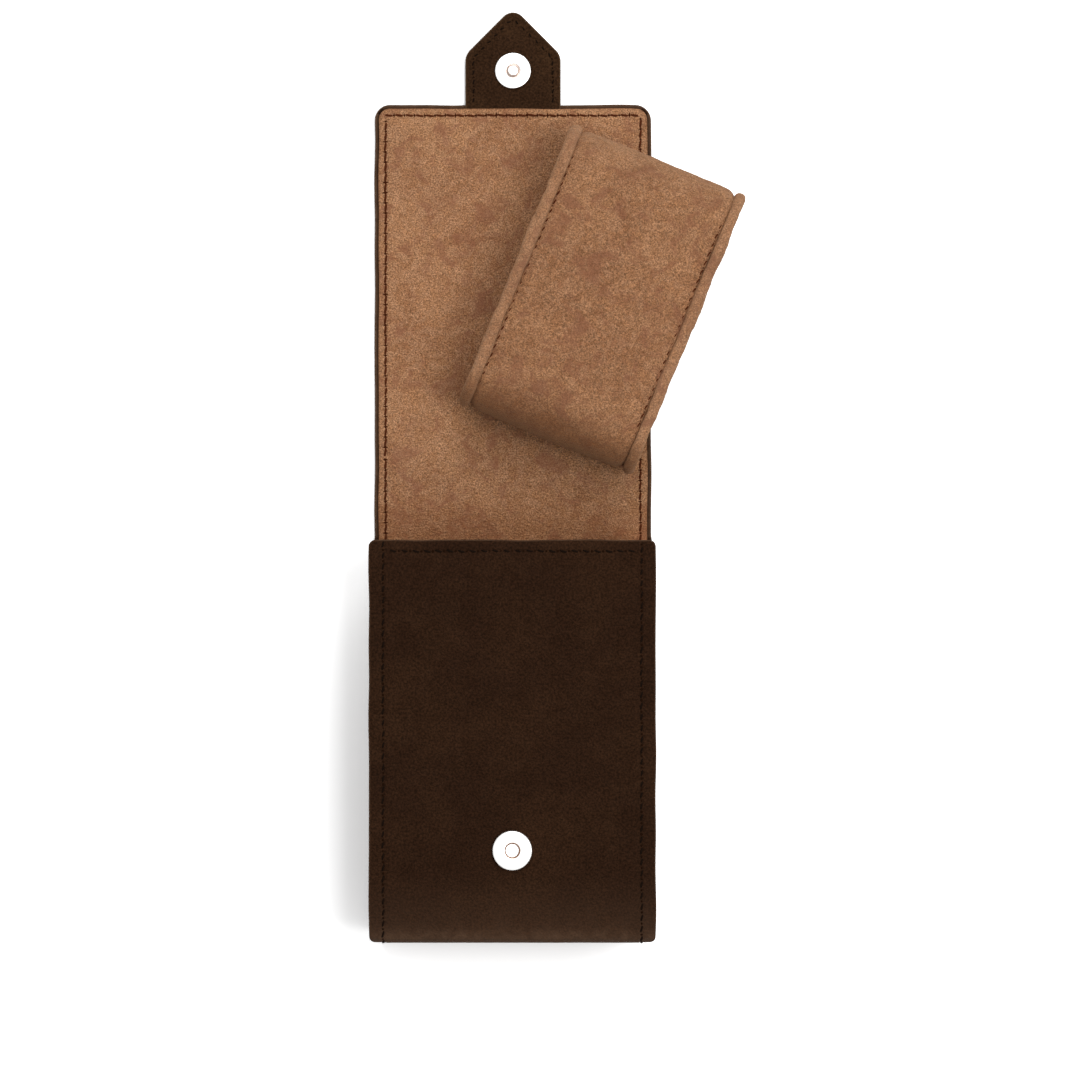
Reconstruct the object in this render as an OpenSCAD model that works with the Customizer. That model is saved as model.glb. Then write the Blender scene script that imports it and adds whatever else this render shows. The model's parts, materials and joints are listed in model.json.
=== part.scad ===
// Watch travel case: a box-gusset leather pouch with a folding lid, a snap tab
// and a loose watch cushion. Millimetres. +X is to the right, +Y runs from the
// pouch towards the open lid and +Z points up from the table. The origin lies on
// the table, in the middle of the line where the lid meets the pouch.

/* [Pouch] */
// Width of the front panel
case_w = 76; // [64:0.5:100]
// Height of the pouch, from its mouth to its bottom
case_h = 106.4; // [95:0.5:130]
// Depth of the pouch, from the table to the front panel's face
case_d = 46.5; // [43:0.5:70]
// Outside radius where the leather turns round the bottom
bottom_r = 3.4; // [2.6:0.1:6]
// Radius of the panel corners at the mouth
mouth_r = 1.6; // [0.5:0.1:4]
// Distance from the lid's hinge line to the mouth's rim
mouth_gap = 0.6; // [0.3:0.1:2]

/* [Layers] */
// Thickness of the outer leather
leather_t = 1.2; // [0.8:0.1:2]
// Thickness of the stiffening board
board_t = 1; // [0.9:0.1:2]
// Thickness of the suede lining
lining_t = 0.8; // [0.5:0.1:1.2]
// How far the boards stay back from an open edge
board_inset = 1.6; // [1:0.1:4]

/* [Gussets] */
// Width of the seam flange that stands outside each gusset
flange_w = 5.6; // [4:0.1:8]
// Thickness of the gusset leather
gusset_t = 1.2; // [0.8:0.1:2]
// Thickness of the gusset's suede
gusset_lining_t = 0.6; // [0.4:0.1:1]
// How far the flange stays inside the panel's edge
flange_inset = 0.4; // [0.2:0.1:1]

/* [Lid] */
// How far each side of the lid stays inside the pouch's width
lid_setback = 0.3; // [0:0.1:2]
// Length of the lid, from its hinge line to its straight end
lid_len = 118.4; // [112:0.2:125]
// Radius of the lid's two end corners
lid_r = 2; // [0.5:0.1:5]
// Border of leather that shows round the lid's lining
lid_border = 1.1; // [0.5:0.1:2]
// Gap between the lid's panels at a fold line
fold_gap = 0.3; // [0.2:0.1:0.6]

/* [Tab] */
// Width of the snap tab
tab_w = 26; // [16:0.5:40]
// Length of the tab beyond the lid's end
tab_len = 25.6; // [20:0.2:34]
// Length of the tab's straight sides
tab_side = 14.6; // [12:0.2:18]
// Radius of the tab's point
tip_r = 3.4; // [1.5:0.1:5]
// Radius of the tab's two shoulders
shoulder_r = 3; // [1:0.1:5]
// Thickness of the tab's outer layer
tab_face_t = 1; // [0.9:0.1:1.4]
// Length of the tongue that is sewn into the lid
tongue_len = 9; // [6:0.5:14]
// Distance from the lid's end to the middle of the snap
snap_reach = 9.2; // [7:0.1:12]

/* [Snap] */
// Diameter of the socket on the front panel
socket_d = 10.6; // [9.6:0.1:14]
// Height of the socket above the leather
socket_h = 1.7; // [1.5:0.1:2.5]
// Diameter of the socket's hole
hole_d = 4.2; // [4:0.1:5]
// Thickness of the socket's and the stud's sheet metal
sheet_t = 0.3; // [0.2:0.05:0.4]
// Diameter of the stud's plate on the tab
stud_d = 9.8; // [8.6:0.1:13]
// Thickness of the stud's plate
stud_t = 0.8; // [0.6:0.1:1.2]
// Diameter of the stud's post
post_d = 3.2; // [2:0.1:3.2]
// Length of the stud's post
post_h = 1.1; // [0.6:0.1:1.2]
// Gap between the stud's plate and the socket when the case is shut
snap_gap = 0.1; // [0.05:0.05:0.3]
// Diameter of the washer behind each snap half
washer_d = 9; // [8:0.1:10]
// Thickness of each washer
washer_t = 0.35; // [0.3:0.05:0.4]
// Width of a fastening prong
prong_w = 1.8; // [1.2:0.1:2]
// Distance between the two prongs
prong_span = 4.4; // [4:0.1:4.6]

/* [Cushion] */
// Length of the cushion between its seam rims' outer faces
cushion_w = 50.8; // [44:0.2:56]
// Size of the cushion across the watch band's way
cushion_l = 81.5; // [72:0.5:88]
// Thickness of the cushion over its rims
cushion_t = 29; // [26:0.5:36]
// Height of the seam rims above the cushion's barrel
rim_h = 1.6; // [1:0.1:4]
// Width of each seam rim
rim_w = 4; // [2.5:0.1:5]
// Radius of the cushion's rounded ends
cushion_r = 13; // [8:0.5:13]
// Thickness of the cushion's suede
cover_t = 0.8; // [0.5:0.1:1.2]
// Distance from the hinge line to the cushion's middle
cushion_y = 64.6; // [58:0.2:70]
// Distance from the lid's middle line to the cushion's middle
cushion_x = 24.2; // [20:0.2:28]
// Turn of the cushion on the lid, clockwise from above
cushion_turn = 22.4; // [15:0.2:30]
// Rest gap under the cushion
cushion_gap = 0.3; // [0.1:0.1:0.5]

/* [Hidden] */

leather_colour = [0.16, 0.1, 0.07];
suede_colour = [0.55, 0.36, 0.23];
board_colour = [0.62, 0.55, 0.45];
metal_colour = [0.85, 0.84, 0.82];
magnet_colour = [0.35, 0.35, 0.37];
foam_colour = [0.93, 0.9, 0.82];

$fn = 64;
nest = 0.05;                 // gap between curved layers of one body
cut = 1;                     // how far a cutter runs past what it cuts
panel_t = leather_t + board_t + lining_t;
bottom_y = -mouth_gap - case_h;
lid_w = case_w - 2 * lid_setback;
wall_x = case_w / 2 - flange_w;              // outside face of a gusset wall
inner_x = wall_x - gusset_t;                 // inside face of its leather
seat_gap = socket_h + stud_t + snap_gap;     // tab's underside to front panel, shut
shut_gap = seat_gap - lining_t;              // lid's lining to front panel, shut
top_len = case_d + shut_gap - panel_t;       // length of the lid's top panel
snap_y = lid_len + snap_reach;               // stud's place on the open lid
socket_y = top_len - snap_y;                 // socket's place on the front panel
tab_z = leather_t + board_t;                 // tab's upper face on the open lid
pocket_t = washer_t + sheet_t + nest;        // room for a washer and bent prongs
barrel_t = cushion_t - 2 * rim_h;
barrel_l = cushion_l - 2 * rim_h;
barrel_x = cushion_w / 2 - rim_w;            // half the barrel's length
barrel_r = cushion_r - rim_h;

// ---- flat shapes ----

// Rectangle about the origin with four round corners
module round_rect(l, w, r) {
    square([l - 2 * r, w], center = true);
    square([l, w - 2 * r], center = true);
    for (sx = [-1, 1], sy = [-1, 1])
        translate([sx * (l / 2 - r), sy * (w / 2 - r)])
            circle(r = r);
}

// Box from one low corner to one high corner
module box_between(low, high) {
    translate(low)
        cube(high - low);
}

// Plan of a panel from y0 to y1 whose corners at y1 are round
module plan(w, y0, y1, r) {
    translate([-w / 2, y0])
        square([w, y1 - y0 - r]);
    translate([-w / 2 + r, y0])
        square([w - 2 * r, y1 - y0]);
    for (sx = [-1, 1])
        translate([sx * (w / 2 - r), y1 - r])
            circle(r = r);
}

// Side view of the pouch, drawn as (y, z), shrunk by inset on its three
// closed sides and open at the mouth
module side_view(inset, mouth) {
    r = max(bottom_r - inset, 0.3);
    low = bottom_y + inset;
    translate([low + r, inset])
        square([mouth - low - r, case_d - 2 * inset]);
    translate([low, inset + r])
        square([r, case_d - 2 * (inset + r)]);
    for (z = [inset + r, case_d - inset - r])
        translate([low + r, z])
            circle(r = r);
}

// Turns a (y, z) drawing upright and gives it the span x0 to x1
module across(x0, x1) {
    translate([x0, 0, 0])
        rotate([90, 0, 90])
            linear_extrude(height = x1 - x0)
                children();
}

// Slots for two prongs, through the span z0 to z1
module prong_slots(y, z0, z1) {
    for (sx = [-1, 1])
        translate([sx * prong_span / 2, y, (z0 + z1) / 2])
            cube([sheet_t + 2 * nest, prong_w + 2 * nest, z1 - z0 + cut], center = true);
}

// ---- pouch ----

// One strip of leather: back, bottom and front
module outer_wrap() {
    color(leather_colour)
        difference() {
            intersection() {
                across(-case_w / 2, case_w / 2)
                    difference() {
                        side_view(0, -fold_gap / 2);
                        side_view(leather_t, cut);
                    }
                union() {
                    box_between([-case_w / 2, bottom_y, 0], [case_w / 2, -fold_gap / 2, case_d / 2]);
                    linear_extrude(height = case_d)
                        plan(case_w, bottom_y, -mouth_gap, mouth_r);
                }
            }
            prong_slots(socket_y, case_d - leather_t, case_d);
        }
}

module back_board() {
    color(board_colour)
        box_between([-inner_x, bottom_y + panel_t, leather_t],
                    [inner_x, -board_inset, leather_t + board_t]);
}

module bottom_board() {
    color(board_colour)
        box_between([-inner_x, bottom_y + leather_t, panel_t],
                    [inner_x, bottom_y + leather_t + board_t, case_d - panel_t]);
}

// The front board has a round pocket for the washer behind the socket
module front_board() {
    color(board_colour)
        difference() {
            box_between([-inner_x, bottom_y + panel_t, case_d - leather_t - board_t],
                        [inner_x, -mouth_gap - board_inset, case_d - leather_t]);
            translate([0, socket_y, case_d - panel_t])
                cylinder(d = washer_d + 4 * nest, h = panel_t);
        }
}

module pouch_lining() {
    color(suede_colour)
        intersection() {
            across(-inner_x, inner_x)
                difference() {
                    side_view(leather_t + board_t, -fold_gap / 2);
                    side_view(panel_t, cut);
                }
            union() {
                box_between([-inner_x, bottom_y, 0], [inner_x, -fold_gap / 2, case_d / 2]);
                box_between([-inner_x, bottom_y, 0], [inner_x, -mouth_gap, case_d]);
            }
        }
}

// Side wall with a flange turned out along the back, the bottom and the front
module gusset() {
    color(leather_colour)
        difference() {
            across(inner_x, case_w / 2 - flange_inset)
                side_view(leather_t + nest, -mouth_gap);
            across(wall_x, case_w / 2)
                side_view(leather_t + nest + gusset_t, cut);
        }
}

module right_gusset() { gusset(); }
module left_gusset() { mirror([1, 0, 0]) gusset(); }

module gusset_lining() {
    color(suede_colour)
        across(inner_x - gusset_lining_t, inner_x - nest)
            side_view(panel_t + nest, -mouth_gap);
}

module right_gusset_lining() { gusset_lining(); }
module left_gusset_lining() { mirror([1, 0, 0]) gusset_lining(); }

// ---- magnetic snap ----

// Pressed cover of the socket, with the hole that the stud's post enters
module socket_cap() {
    color(metal_colour)
        translate([0, socket_y, case_d])
            difference() {
                cylinder(d = socket_d, h = socket_h);
                translate([0, 0, -cut])
                    cylinder(d = socket_d - 2 * sheet_t, h = socket_h - sheet_t + cut);
                cylinder(d = hole_d, h = socket_h + cut);
            }
}

module socket_magnet() {
    color(magnet_colour)
        translate([0, socket_y, case_d + sheet_t + nest])
            difference() {
                cylinder(d = socket_d - 2 * sheet_t - 2 * nest, h = socket_h - 2 * sheet_t - 2 * nest);
                translate([0, 0, -cut])
                    cylinder(d = hole_d + 2 * nest, h = socket_h + 2 * cut);
            }
}

// Two prongs pressed out of a plate, drawn under z = 0 and bent outwards
module prongs(depth) {
    for (side = [0, 180])
        rotate([0, 0, side]) {
            translate([prong_span / 2 - sheet_t / 2, -prong_w / 2, -depth])
                cube([sheet_t, prong_w, depth]);
            translate([prong_span / 2 - sheet_t / 2, -prong_w / 2, -depth])
                cube([(washer_d - prong_span) / 2, prong_w, sheet_t]);
        }
}

// Base plate of the socket, with its pole in the middle and two prongs
module socket_base() {
    color(metal_colour)
        translate([0, socket_y, case_d]) {
            cylinder(d = socket_d - 2 * sheet_t - 2 * nest, h = sheet_t);
            cylinder(d = post_d, h = socket_h - sheet_t - post_h);
            prongs(leather_t + washer_t + sheet_t);
        }
}

module washer(y, top) {
    color(metal_colour)
        difference() {
            translate([0, y, top - washer_t])
                cylinder(d = washer_d, h = washer_t);
            prong_slots(y, top - washer_t, top);
        }
}

module socket_washer() { washer(socket_y, case_d - leather_t); }
module stud_washer() { washer(snap_y, tab_z - board_t); }

// Plate on the tab with the post that snaps into the socket
module stud_plate() {
    step = stud_t / 4;
    color(metal_colour)
        translate([0, snap_y, tab_z]) {
            cylinder(d = stud_d, h = stud_t - step);
            cylinder(d = stud_d - 4 * sheet_t, h = stud_t);
            cylinder(d = post_d, h = stud_t + post_h);
            prongs(board_t + washer_t + sheet_t);
        }
}

// ---- lid: top panel ----

module top_leather() {
    color(leather_colour)
        box_between([-lid_w / 2, fold_gap / 2, 0], [lid_w / 2, top_len - fold_gap / 2, leather_t]);
}

module top_board() {
    color(board_colour)
        box_between([-lid_w / 2 + lid_border, board_inset, leather_t],
                    [lid_w / 2 - lid_border, top_len - board_inset, leather_t + board_t]);
}

module top_lining() {
    color(suede_colour)
        box_between([-lid_w / 2 + lid_border, fold_gap / 2, leather_t + board_t],
                    [lid_w / 2 - lid_border, top_len - fold_gap / 2, panel_t]);
}

// ---- lid: front flap and tab ----

module flap_layer(inset, low, high) {
    translate([0, 0, low])
        linear_extrude(height = high - low)
            plan(lid_w - 2 * inset, top_len + fold_gap / 2, lid_len - inset, lid_r);
}

module flap_leather() {
    color(leather_colour)
        flap_layer(0, 0, leather_t);
}

// The flap's board is cut out for the tab's tongue
module flap_board() {
    color(board_colour)
        difference() {
            translate([0, 0, leather_t])
                linear_extrude(height = board_t)
                    plan(lid_w - 2 * lid_border, top_len + board_inset, lid_len - lid_border, lid_r);
            box_between([-tab_w / 2 - nest, lid_len - tongue_len - nest, 0],
                        [tab_w / 2 + nest, lid_len + cut, panel_t]);
        }
}

module flap_lining() {
    color(suede_colour)
        flap_layer(lid_border, leather_t + board_t, panel_t);
}

// Plan of the tab: straight sides, two round shoulders and a round point
module tab_plan() {
    half = tab_w / 2;
    hull() {
        translate([-half, 0])
            square([tab_w, tab_side - shoulder_r]);
        for (side = [-1, 1])
            translate([side * (half - shoulder_r), tab_side - shoulder_r])
                circle(r = shoulder_r, $fn = 32);
        translate([0, tab_len - tip_r])
            circle(r = tip_r, $fn = 32);
    }
}

// Outer layer of the tab, with a skived pocket for the washer
module tab_face() {
    color(leather_colour)
        difference() {
            translate([0, lid_len + nest, tab_z - board_t - tab_face_t])
                linear_extrude(height = tab_face_t)
                    tab_plan();
            translate([0, snap_y, tab_z - board_t - pocket_t])
                cylinder(d = washer_d + 4 * nest, h = pocket_t + cut);
        }
}

// Inner layer of the tab, with the tongue that is sewn into the lid
module tab_back() {
    color(leather_colour)
        difference() {
            union() {
                translate([0, lid_len, tab_z - board_t])
                    linear_extrude(height = board_t)
                        tab_plan();
                box_between([-tab_w / 2, lid_len - tongue_len, tab_z - board_t],
                            [tab_w / 2, lid_len + nest, tab_z]);
            }
            prong_slots(snap_y, tab_z - board_t, tab_z);
        }
}

// ---- cushion ----

// Stands a (y, z) drawing where the cushion lies, over the span x0 to x1
module on_lid(x0, x1) {
    translate([cushion_x, cushion_y, panel_t + cushion_gap + cushion_t / 2])
        rotate([0, 0, -cushion_turn])
            across(x0, x1)
                children();
}

module cushion_core() {
    color(foam_colour)
        on_lid(-barrel_x + nest, barrel_x - nest)
            round_rect(barrel_l - 2 * (cover_t + nest), barrel_t - 2 * (cover_t + nest),
                       barrel_r - cover_t - nest);
}

module cushion_cover() {
    color(suede_colour)
        on_lid(-barrel_x, barrel_x)
            difference() {
                round_rect(barrel_l, barrel_t, barrel_r);
                round_rect(barrel_l - 2 * cover_t, barrel_t - 2 * cover_t, barrel_r - cover_t);
            }
}

module cushion_left_rim() {
    color(suede_colour)
        on_lid(-cushion_w / 2, -barrel_x)
            round_rect(cushion_l, cushion_t, cushion_r);
}

module cushion_right_rim() {
    color(suede_colour)
        on_lid(barrel_x, cushion_w / 2)
            round_rect(cushion_l, cushion_t, cushion_r);
}

outer_wrap();
back_board();
bottom_board();
front_board();
pouch_lining();
left_gusset();
right_gusset();
left_gusset_lining();
right_gusset_lining();
socket_cap();
socket_magnet();
socket_base();
socket_washer();
top_leather();
top_board();
top_lining();
flap_leather();
flap_board();
flap_lining();
tab_face();
tab_back();
stud_plate();
stud_washer();
cushion_core();
cushion_cover();
cushion_left_rim();
cushion_right_rim();
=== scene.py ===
"""Dresses the watch travel case: leather, suede, thread, snap and cushion, on a pale floor."""

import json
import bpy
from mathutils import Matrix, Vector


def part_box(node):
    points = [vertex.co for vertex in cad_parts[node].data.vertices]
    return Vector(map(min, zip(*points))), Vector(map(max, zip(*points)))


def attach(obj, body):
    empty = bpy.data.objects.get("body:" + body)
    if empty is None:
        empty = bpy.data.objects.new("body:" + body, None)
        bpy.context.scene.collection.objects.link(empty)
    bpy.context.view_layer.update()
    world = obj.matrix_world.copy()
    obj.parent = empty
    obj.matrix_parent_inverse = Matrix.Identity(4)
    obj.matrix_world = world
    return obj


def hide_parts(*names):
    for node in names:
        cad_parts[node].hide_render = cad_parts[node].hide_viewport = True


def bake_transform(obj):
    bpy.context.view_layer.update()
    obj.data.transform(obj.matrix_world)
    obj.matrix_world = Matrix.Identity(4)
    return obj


bl_info = {
    "name": "Watch travel case",
    "version": (1, 0, 0),
    "blender": (4, 5, 0),
    "location": "View3D > Sidebar > Watch case",
    "description": "Builds the leather, suede, stitching, snap and cushion of a watch travel case",
    "category": "Object",
}

from math import acos, atan2, copysign, cos, pi, radians, sin, tan

import bmesh
import bpy
import numpy as np
from bpy.props import FloatProperty, FloatVectorProperty, IntProperty, PointerProperty
from mathutils import Matrix, Vector, geometry
from mathutils import noise as fixed_noise

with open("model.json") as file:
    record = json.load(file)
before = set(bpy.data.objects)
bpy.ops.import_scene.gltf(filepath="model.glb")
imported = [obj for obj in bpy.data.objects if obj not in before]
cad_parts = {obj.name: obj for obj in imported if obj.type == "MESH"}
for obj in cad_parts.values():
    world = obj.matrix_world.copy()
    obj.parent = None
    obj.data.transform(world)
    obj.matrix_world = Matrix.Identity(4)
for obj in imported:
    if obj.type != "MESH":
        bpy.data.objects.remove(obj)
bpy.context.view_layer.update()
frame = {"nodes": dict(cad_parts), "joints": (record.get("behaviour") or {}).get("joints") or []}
MM = 0.001
UP = np.array((0, 0, 1))

# ---- places that the frame gives ----

WRAP_LOW, WRAP_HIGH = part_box("outer_wrap")
LID_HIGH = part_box("flap_leather")[1]
LINING_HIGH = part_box("flap_lining")[1]
FACE_LOW, FACE_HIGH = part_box("tab_face")
BACK_LOW, BACK_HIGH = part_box("tab_back")
GUSSET_LOW, GUSSET_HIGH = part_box("right_gusset")
SIDE_LOW, SIDE_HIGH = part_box("right_gusset_lining")
JOINTS = {joint["name"]: joint for joint in frame["joints"]}

DEPTH = WRAP_HIGH.z
BOTTOM_Y = WRAP_LOW.y
HALF_W = WRAP_HIGH.x
MOUTH_Y = WRAP_HIGH.y
LEATHER_T = LID_HIGH.z
PANEL_T = LINING_HIGH.z
BOARD_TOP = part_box("flap_board")[1].z
BOARD_T = BOARD_TOP - LEATHER_T
HINGE_Y = JOINTS["lid_hinge"]["pos_m"][1]
FOLD_Y = JOINTS["lid_fold"]["pos_m"][1]
MIDDLE_Y = (HINGE_Y + FOLD_Y) / 2
LEATHER_CUT = MIDDLE_Y - 0.6 * MM
LINING_CUT = MIDDLE_Y - 1.2 * MM
LID_END = LID_HIGH.y
LID_HALF = LID_HIGH.x
LINING_HALF = LINING_HIGH.x

# ---- how the pieces are cut and worked ----

MOUTH_EDGE = -0.2 * MM  # Y of the side walls' edges at the mouth
FOOT_RISE = 3.5 * MM  # from a side wall's foot to where that edge starts
TOP_DROP = 2 * MM  # from where it ends to the wall's top
SMALL_RADIUS = 0.4 * MM  # corner that is only eased
MARGIN_FALL = 0.12 * MM  # how much thinner a sheet is outside its stitch row
SUEDE_PULL = 1.4  # how much deeper a stitch row is in suede than in leather
WORN_WIDTH = 0.9 * MM  # rubbed strip along the lid's edges
TAB_ROOT = LID_END - 12 * MM  # low end of the tab's outline, under the lid
UNEVEN_FRONT_Y = -95 * MM  # above this the front panel waves a little

# ---- how finely the meshes are divided ----

ARC_STEP = 0.35 * MM  # round the corners of an outline
RING_STEP = 0.7 * MM  # along an outline
GRID_GAP = 0.35 * MM  # from an outline to the first points inside it
FINE = 0.4 * MM  # where a sheet bends or is sewn, for the reaches below
SEAM_REACH = 1.6 * MM
FOLD_REACH = 2.8 * MM
BEND_REACH = 4.4 * MM


# ---- sizes and colours that a user may change ----

def length(name, text, value_mm):
    return FloatProperty(name=name, description=text, default=value_mm * MM, subtype="DISTANCE",
                         unit="LENGTH", precision=5)


def linear(code):
    """Linear colour of an sRGB hex code."""
    parts = [int(code[i:i + 2], 16) / 255 for i in (0, 2, 4)]
    return tuple(c / 12.92 if c < 0.04045 else ((c + 0.055) / 1.055) ** 2.4 for c in parts)


def colour(name, text, code):
    return FloatVectorProperty(name=name, description=text, default=linear(code), size=3,
                               subtype="COLOR", min=0, max=1)


class WatchCaseSizes(bpy.types.PropertyGroup):
    pitch: length("Mesh pitch", "Distance between the points of a sheet", 2)
    rim: length("Edge radius", "Radius of a leather edge", 0.42)
    bottom_radius: length("Bottom radius", "Radius of the leather round the bottom", 3.4)
    mouth_radius: length("Mouth radius", "Radius of the front's upper corners", 1.8)
    lid_radius: length("Lid radius", "Radius of the lid's end corners", 4.2)
    fold_reach: length("Fold reach", "Half the width of the leather that bends at a fold", 2.3)
    seam: length("Seam inset", "From the pouch's edge to its stitch rows", 3.8)
    lid_seam: length("Lid seam inset", "From the lid's edge to its stitch row", 3.0)
    mouth_seam: length("Mouth seam inset", "From the mouth's edge to its stitch row", 3.0)
    tab_seam: length("Tab seam inset", "From the tab's edge to its stitch row", 2.2)
    groove: length("Seam depth", "How deep a stitch row pulls the surface in", 0.22)
    stitch_pitch: length("Stitch pitch", "Distance from stitch to stitch", 2.95)
    stitch_length: length("Stitch length", "Length of one stitch", 1.6)
    thread: length("Thread", "Diameter of the thread", 0.5)
    tip_radius: length("Tip radius", "Radius of the tab's point", 3.6)
    shoulder_radius: length("Shoulder radius", "Radius of the tab's shoulders", 4.6)
    tab_side: length("Tab side", "Length of the tab's straight sides", 13.6)


class WatchCaseCushion(bpy.types.PropertyGroup):
    width: length("Width", "Between the outer faces of the cushion's rims", 50.8)
    height: length("Length", "Cushion's size along the watch band", 81.5)
    thickness: length("Thickness", "Cushion's thickness over its rims", 29)
    corner: length("Corner", "Radius of the cushion's rounded ends", 13)
    rim_width: length("Rim width", "Width of each seam rim", 3.1)
    rim_height: length("Rim height", "Height of each seam rim over the barrel", 1.6)
    voxel: length("Voxel", "Size of the cells that the cushion is remeshed to", 1.3)
    swell: length("Swell", "Most that a point may move as the cushion fills", 1.6)
    turn: FloatProperty(name="Turn", description="Turn of the cushion on the lid, clockwise",
                        default=radians(22.4), subtype="ANGLE")
    frames: IntProperty(name="Frames", description="Steps that the filling is run for", default=20)


class WatchCaseColours(bpy.types.PropertyGroup):
    leather: colour("Leather", "Dark brown of the outer leather", "24140b")
    leather_worn: colour("Worn leather", "Lighter brown where it is pulled or rubbed", "362214")
    leather_edge: colour("Leather edge", "Brown of the burnished edges", "644c3b")
    suede: colour("Suede", "Tan of the brushed suede", "ac7c57")
    suede_dark: colour("Dark suede", "Suede where the nap lies away", "85573a")
    suede_light: colour("Light suede", "Suede where the nap catches the light", "c09472")
    suede_blush: colour("Suede blush", "Redder patches of the suede", "8f5d45")
    # Painted highlight: the paler tone of the cushion's rims where light catches them.
    suede_rim_highlight: colour("Suede on the rims", "Paler suede where the rims are rubbed", "c9a184")
    # Painted shade: the darker tan that the lining gets towards the fold.
    suede_fold_shade: colour("Suede at the fold", "Darker tan of the handled suede", "8a4f27")
    thread: colour("Thread", "Dark brown of the thread", "120a06")
    lining_thread: colour("Lining thread", "Brown of the thread on the suede", "45200f")
    metal: colour("Metal", "Bright nickel of the snap", "fbfaf8")
    # Painted reflection and shade: the brown put into the snap's turned grooves.
    groove_shade: colour("Tarnish", "Brown in the snap's turned grooves", "8a6044")


def sizes():
    return bpy.context.scene.watch_case_sizes


def cushion_sizes():
    return bpy.context.scene.watch_case_cushion


def colours():
    return bpy.context.scene.watch_case_colours


# ---- node trees ----

class Nodes:
    """Adds nodes to a tree. An input given as a socket is linked, any other value is set."""

    def __init__(self, tree):
        self.tree = tree

    def fill(self, node, inputs):
        for key, value in inputs.items():
            socket = node.inputs[key]
            if isinstance(value, bpy.types.NodeSocket):
                self.tree.links.new(value, socket)
            else:
                opaque = socket.type == "RGBA" and len(value) == 3
                socket.default_value = (*value, 1.0) if opaque else value

    def add(self, kind, inputs=None, **values):
        node = self.tree.nodes.new(kind)
        for key, value in values.items():
            setattr(node, key, value)
        self.fill(node, inputs or {})
        return node

    def math(self, operation, first, second=0.0):
        return self.add("ShaderNodeMath", {0: first, 1: second}, operation=operation).outputs[0]

    def times(self, first, second):
        return self.math("MULTIPLY", first, second)

    def remap(self, value, low, high, out_low=0.0, out_high=1.0):
        inputs = {"Value": value, "From Min": low, "From Max": high, "To Min": out_low,
                  "To Max": out_high}
        node = self.add("ShaderNodeMapRange", inputs, interpolation_type="SMOOTHSTEP")
        return node.outputs["Result"]

    def mix(self, factor, first, second, blend="MIX"):
        return self.add("ShaderNodeMix", {"Factor": factor, 6: first, 7: second},
                        data_type="RGBA", blend_type=blend).outputs[2]

    def tint(self, base, value):
        """The colour multiplied by a value or a second colour."""
        return self.mix(1.0, base, value, "MULTIPLY")

    def noise(self, vector, scale, detail=3.0, rough=0.55, distortion=0.0):
        inputs = {"Vector": vector, "Scale": scale, "Detail": detail, "Roughness": rough,
                  "Distortion": distortion}
        return self.add("ShaderNodeTexNoise", inputs).outputs["Fac"]

    def cells(self, vector, scale, feature="F1"):
        node = self.add("ShaderNodeTexVoronoi", {"Vector": vector, "Scale": scale},
                        feature=feature)
        return node.outputs["Distance"]

    def bump(self, height, distance, strength, under=None):
        inputs = {"Height": height, "Distance": distance, "Strength": strength}
        if under:
            inputs["Normal"] = under
        return self.add("ShaderNodeBump", inputs).outputs["Normal"]

    def group(self, name, *values):
        """Outputs of a shared group, whose inputs are given in their order."""
        tree = bpy.data.node_groups[name]
        return self.add("ShaderNodeGroup", dict(enumerate(values)), node_tree=tree).outputs

    def vector(self, uses_map=False):
        """The piece's own map in metres, or its object coordinates."""
        if uses_map:
            return self.add("ShaderNodeUVMap", uv_map="Sheet").outputs["UV"]
        return self.add("ShaderNodeTexCoord").outputs["Object"]

    # The edge mark: wear on the leather and suede, painted reflection and shade in the snap's
    # grooves, painted shade at the cushion's lower end.
    def wear_and_shade(self):
        return self.add("ShaderNodeAttribute", attribute_name="edge").outputs["Fac"]


class Finish(Nodes):
    """Nodes of a new material that has one Principled BSDF."""

    def __init__(self, name):
        self.material = bpy.data.materials.new(name)
        self.material.use_nodes = True
        super().__init__(self.material.node_tree)
        self.tree.nodes.clear()
        self.shader = self.add("ShaderNodeBsdfPrincipled")
        self.add("ShaderNodeOutputMaterial", {"Surface": self.shader.outputs[0]})

    def done(self, inputs):
        self.fill(self.shader, inputs)
        return self.material


def new_group(name, ins, outs):
    """Nodes of an empty shader group that takes a vector and the sizes in ins."""
    n = Nodes(bpy.data.node_groups.new(name, "ShaderNodeTree"))
    new_socket = n.tree.interface.new_socket
    new_socket("Vector", in_out="INPUT", socket_type="NodeSocketVector")
    for label, value in ins.items():
        new_socket(label, in_out="INPUT", socket_type="NodeSocketFloat").default_value = value
    for label in outs:
        new_socket(label, in_out="OUTPUT", socket_type="NodeSocketFloat")
    return n, n.add("NodeGroupInput").outputs, n.add("NodeGroupOutput")


def mottle_group():
    """Cloudy tone on three scales: wide clouds, handling marks and fine nap."""
    n, given, result = new_group(
        "Mottle", {"Cloud size": 0.014, "Mark size": 0.0035, "Nap size": 0.0006},
        ("Clouds", "Marks", "Nap"))
    for label, source, detail, distortion in (("Clouds", "Cloud size", 4.0, 0.6),
                                              ("Marks", "Mark size", 5.0, 1.2),
                                              ("Nap", "Nap size", 3.0, 0.4)):
        scale = n.math("DIVIDE", 1.0, given[source])
        n.fill(result, {label: n.noise(given["Vector"], scale, detail, 0.6, distortion)})


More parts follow.
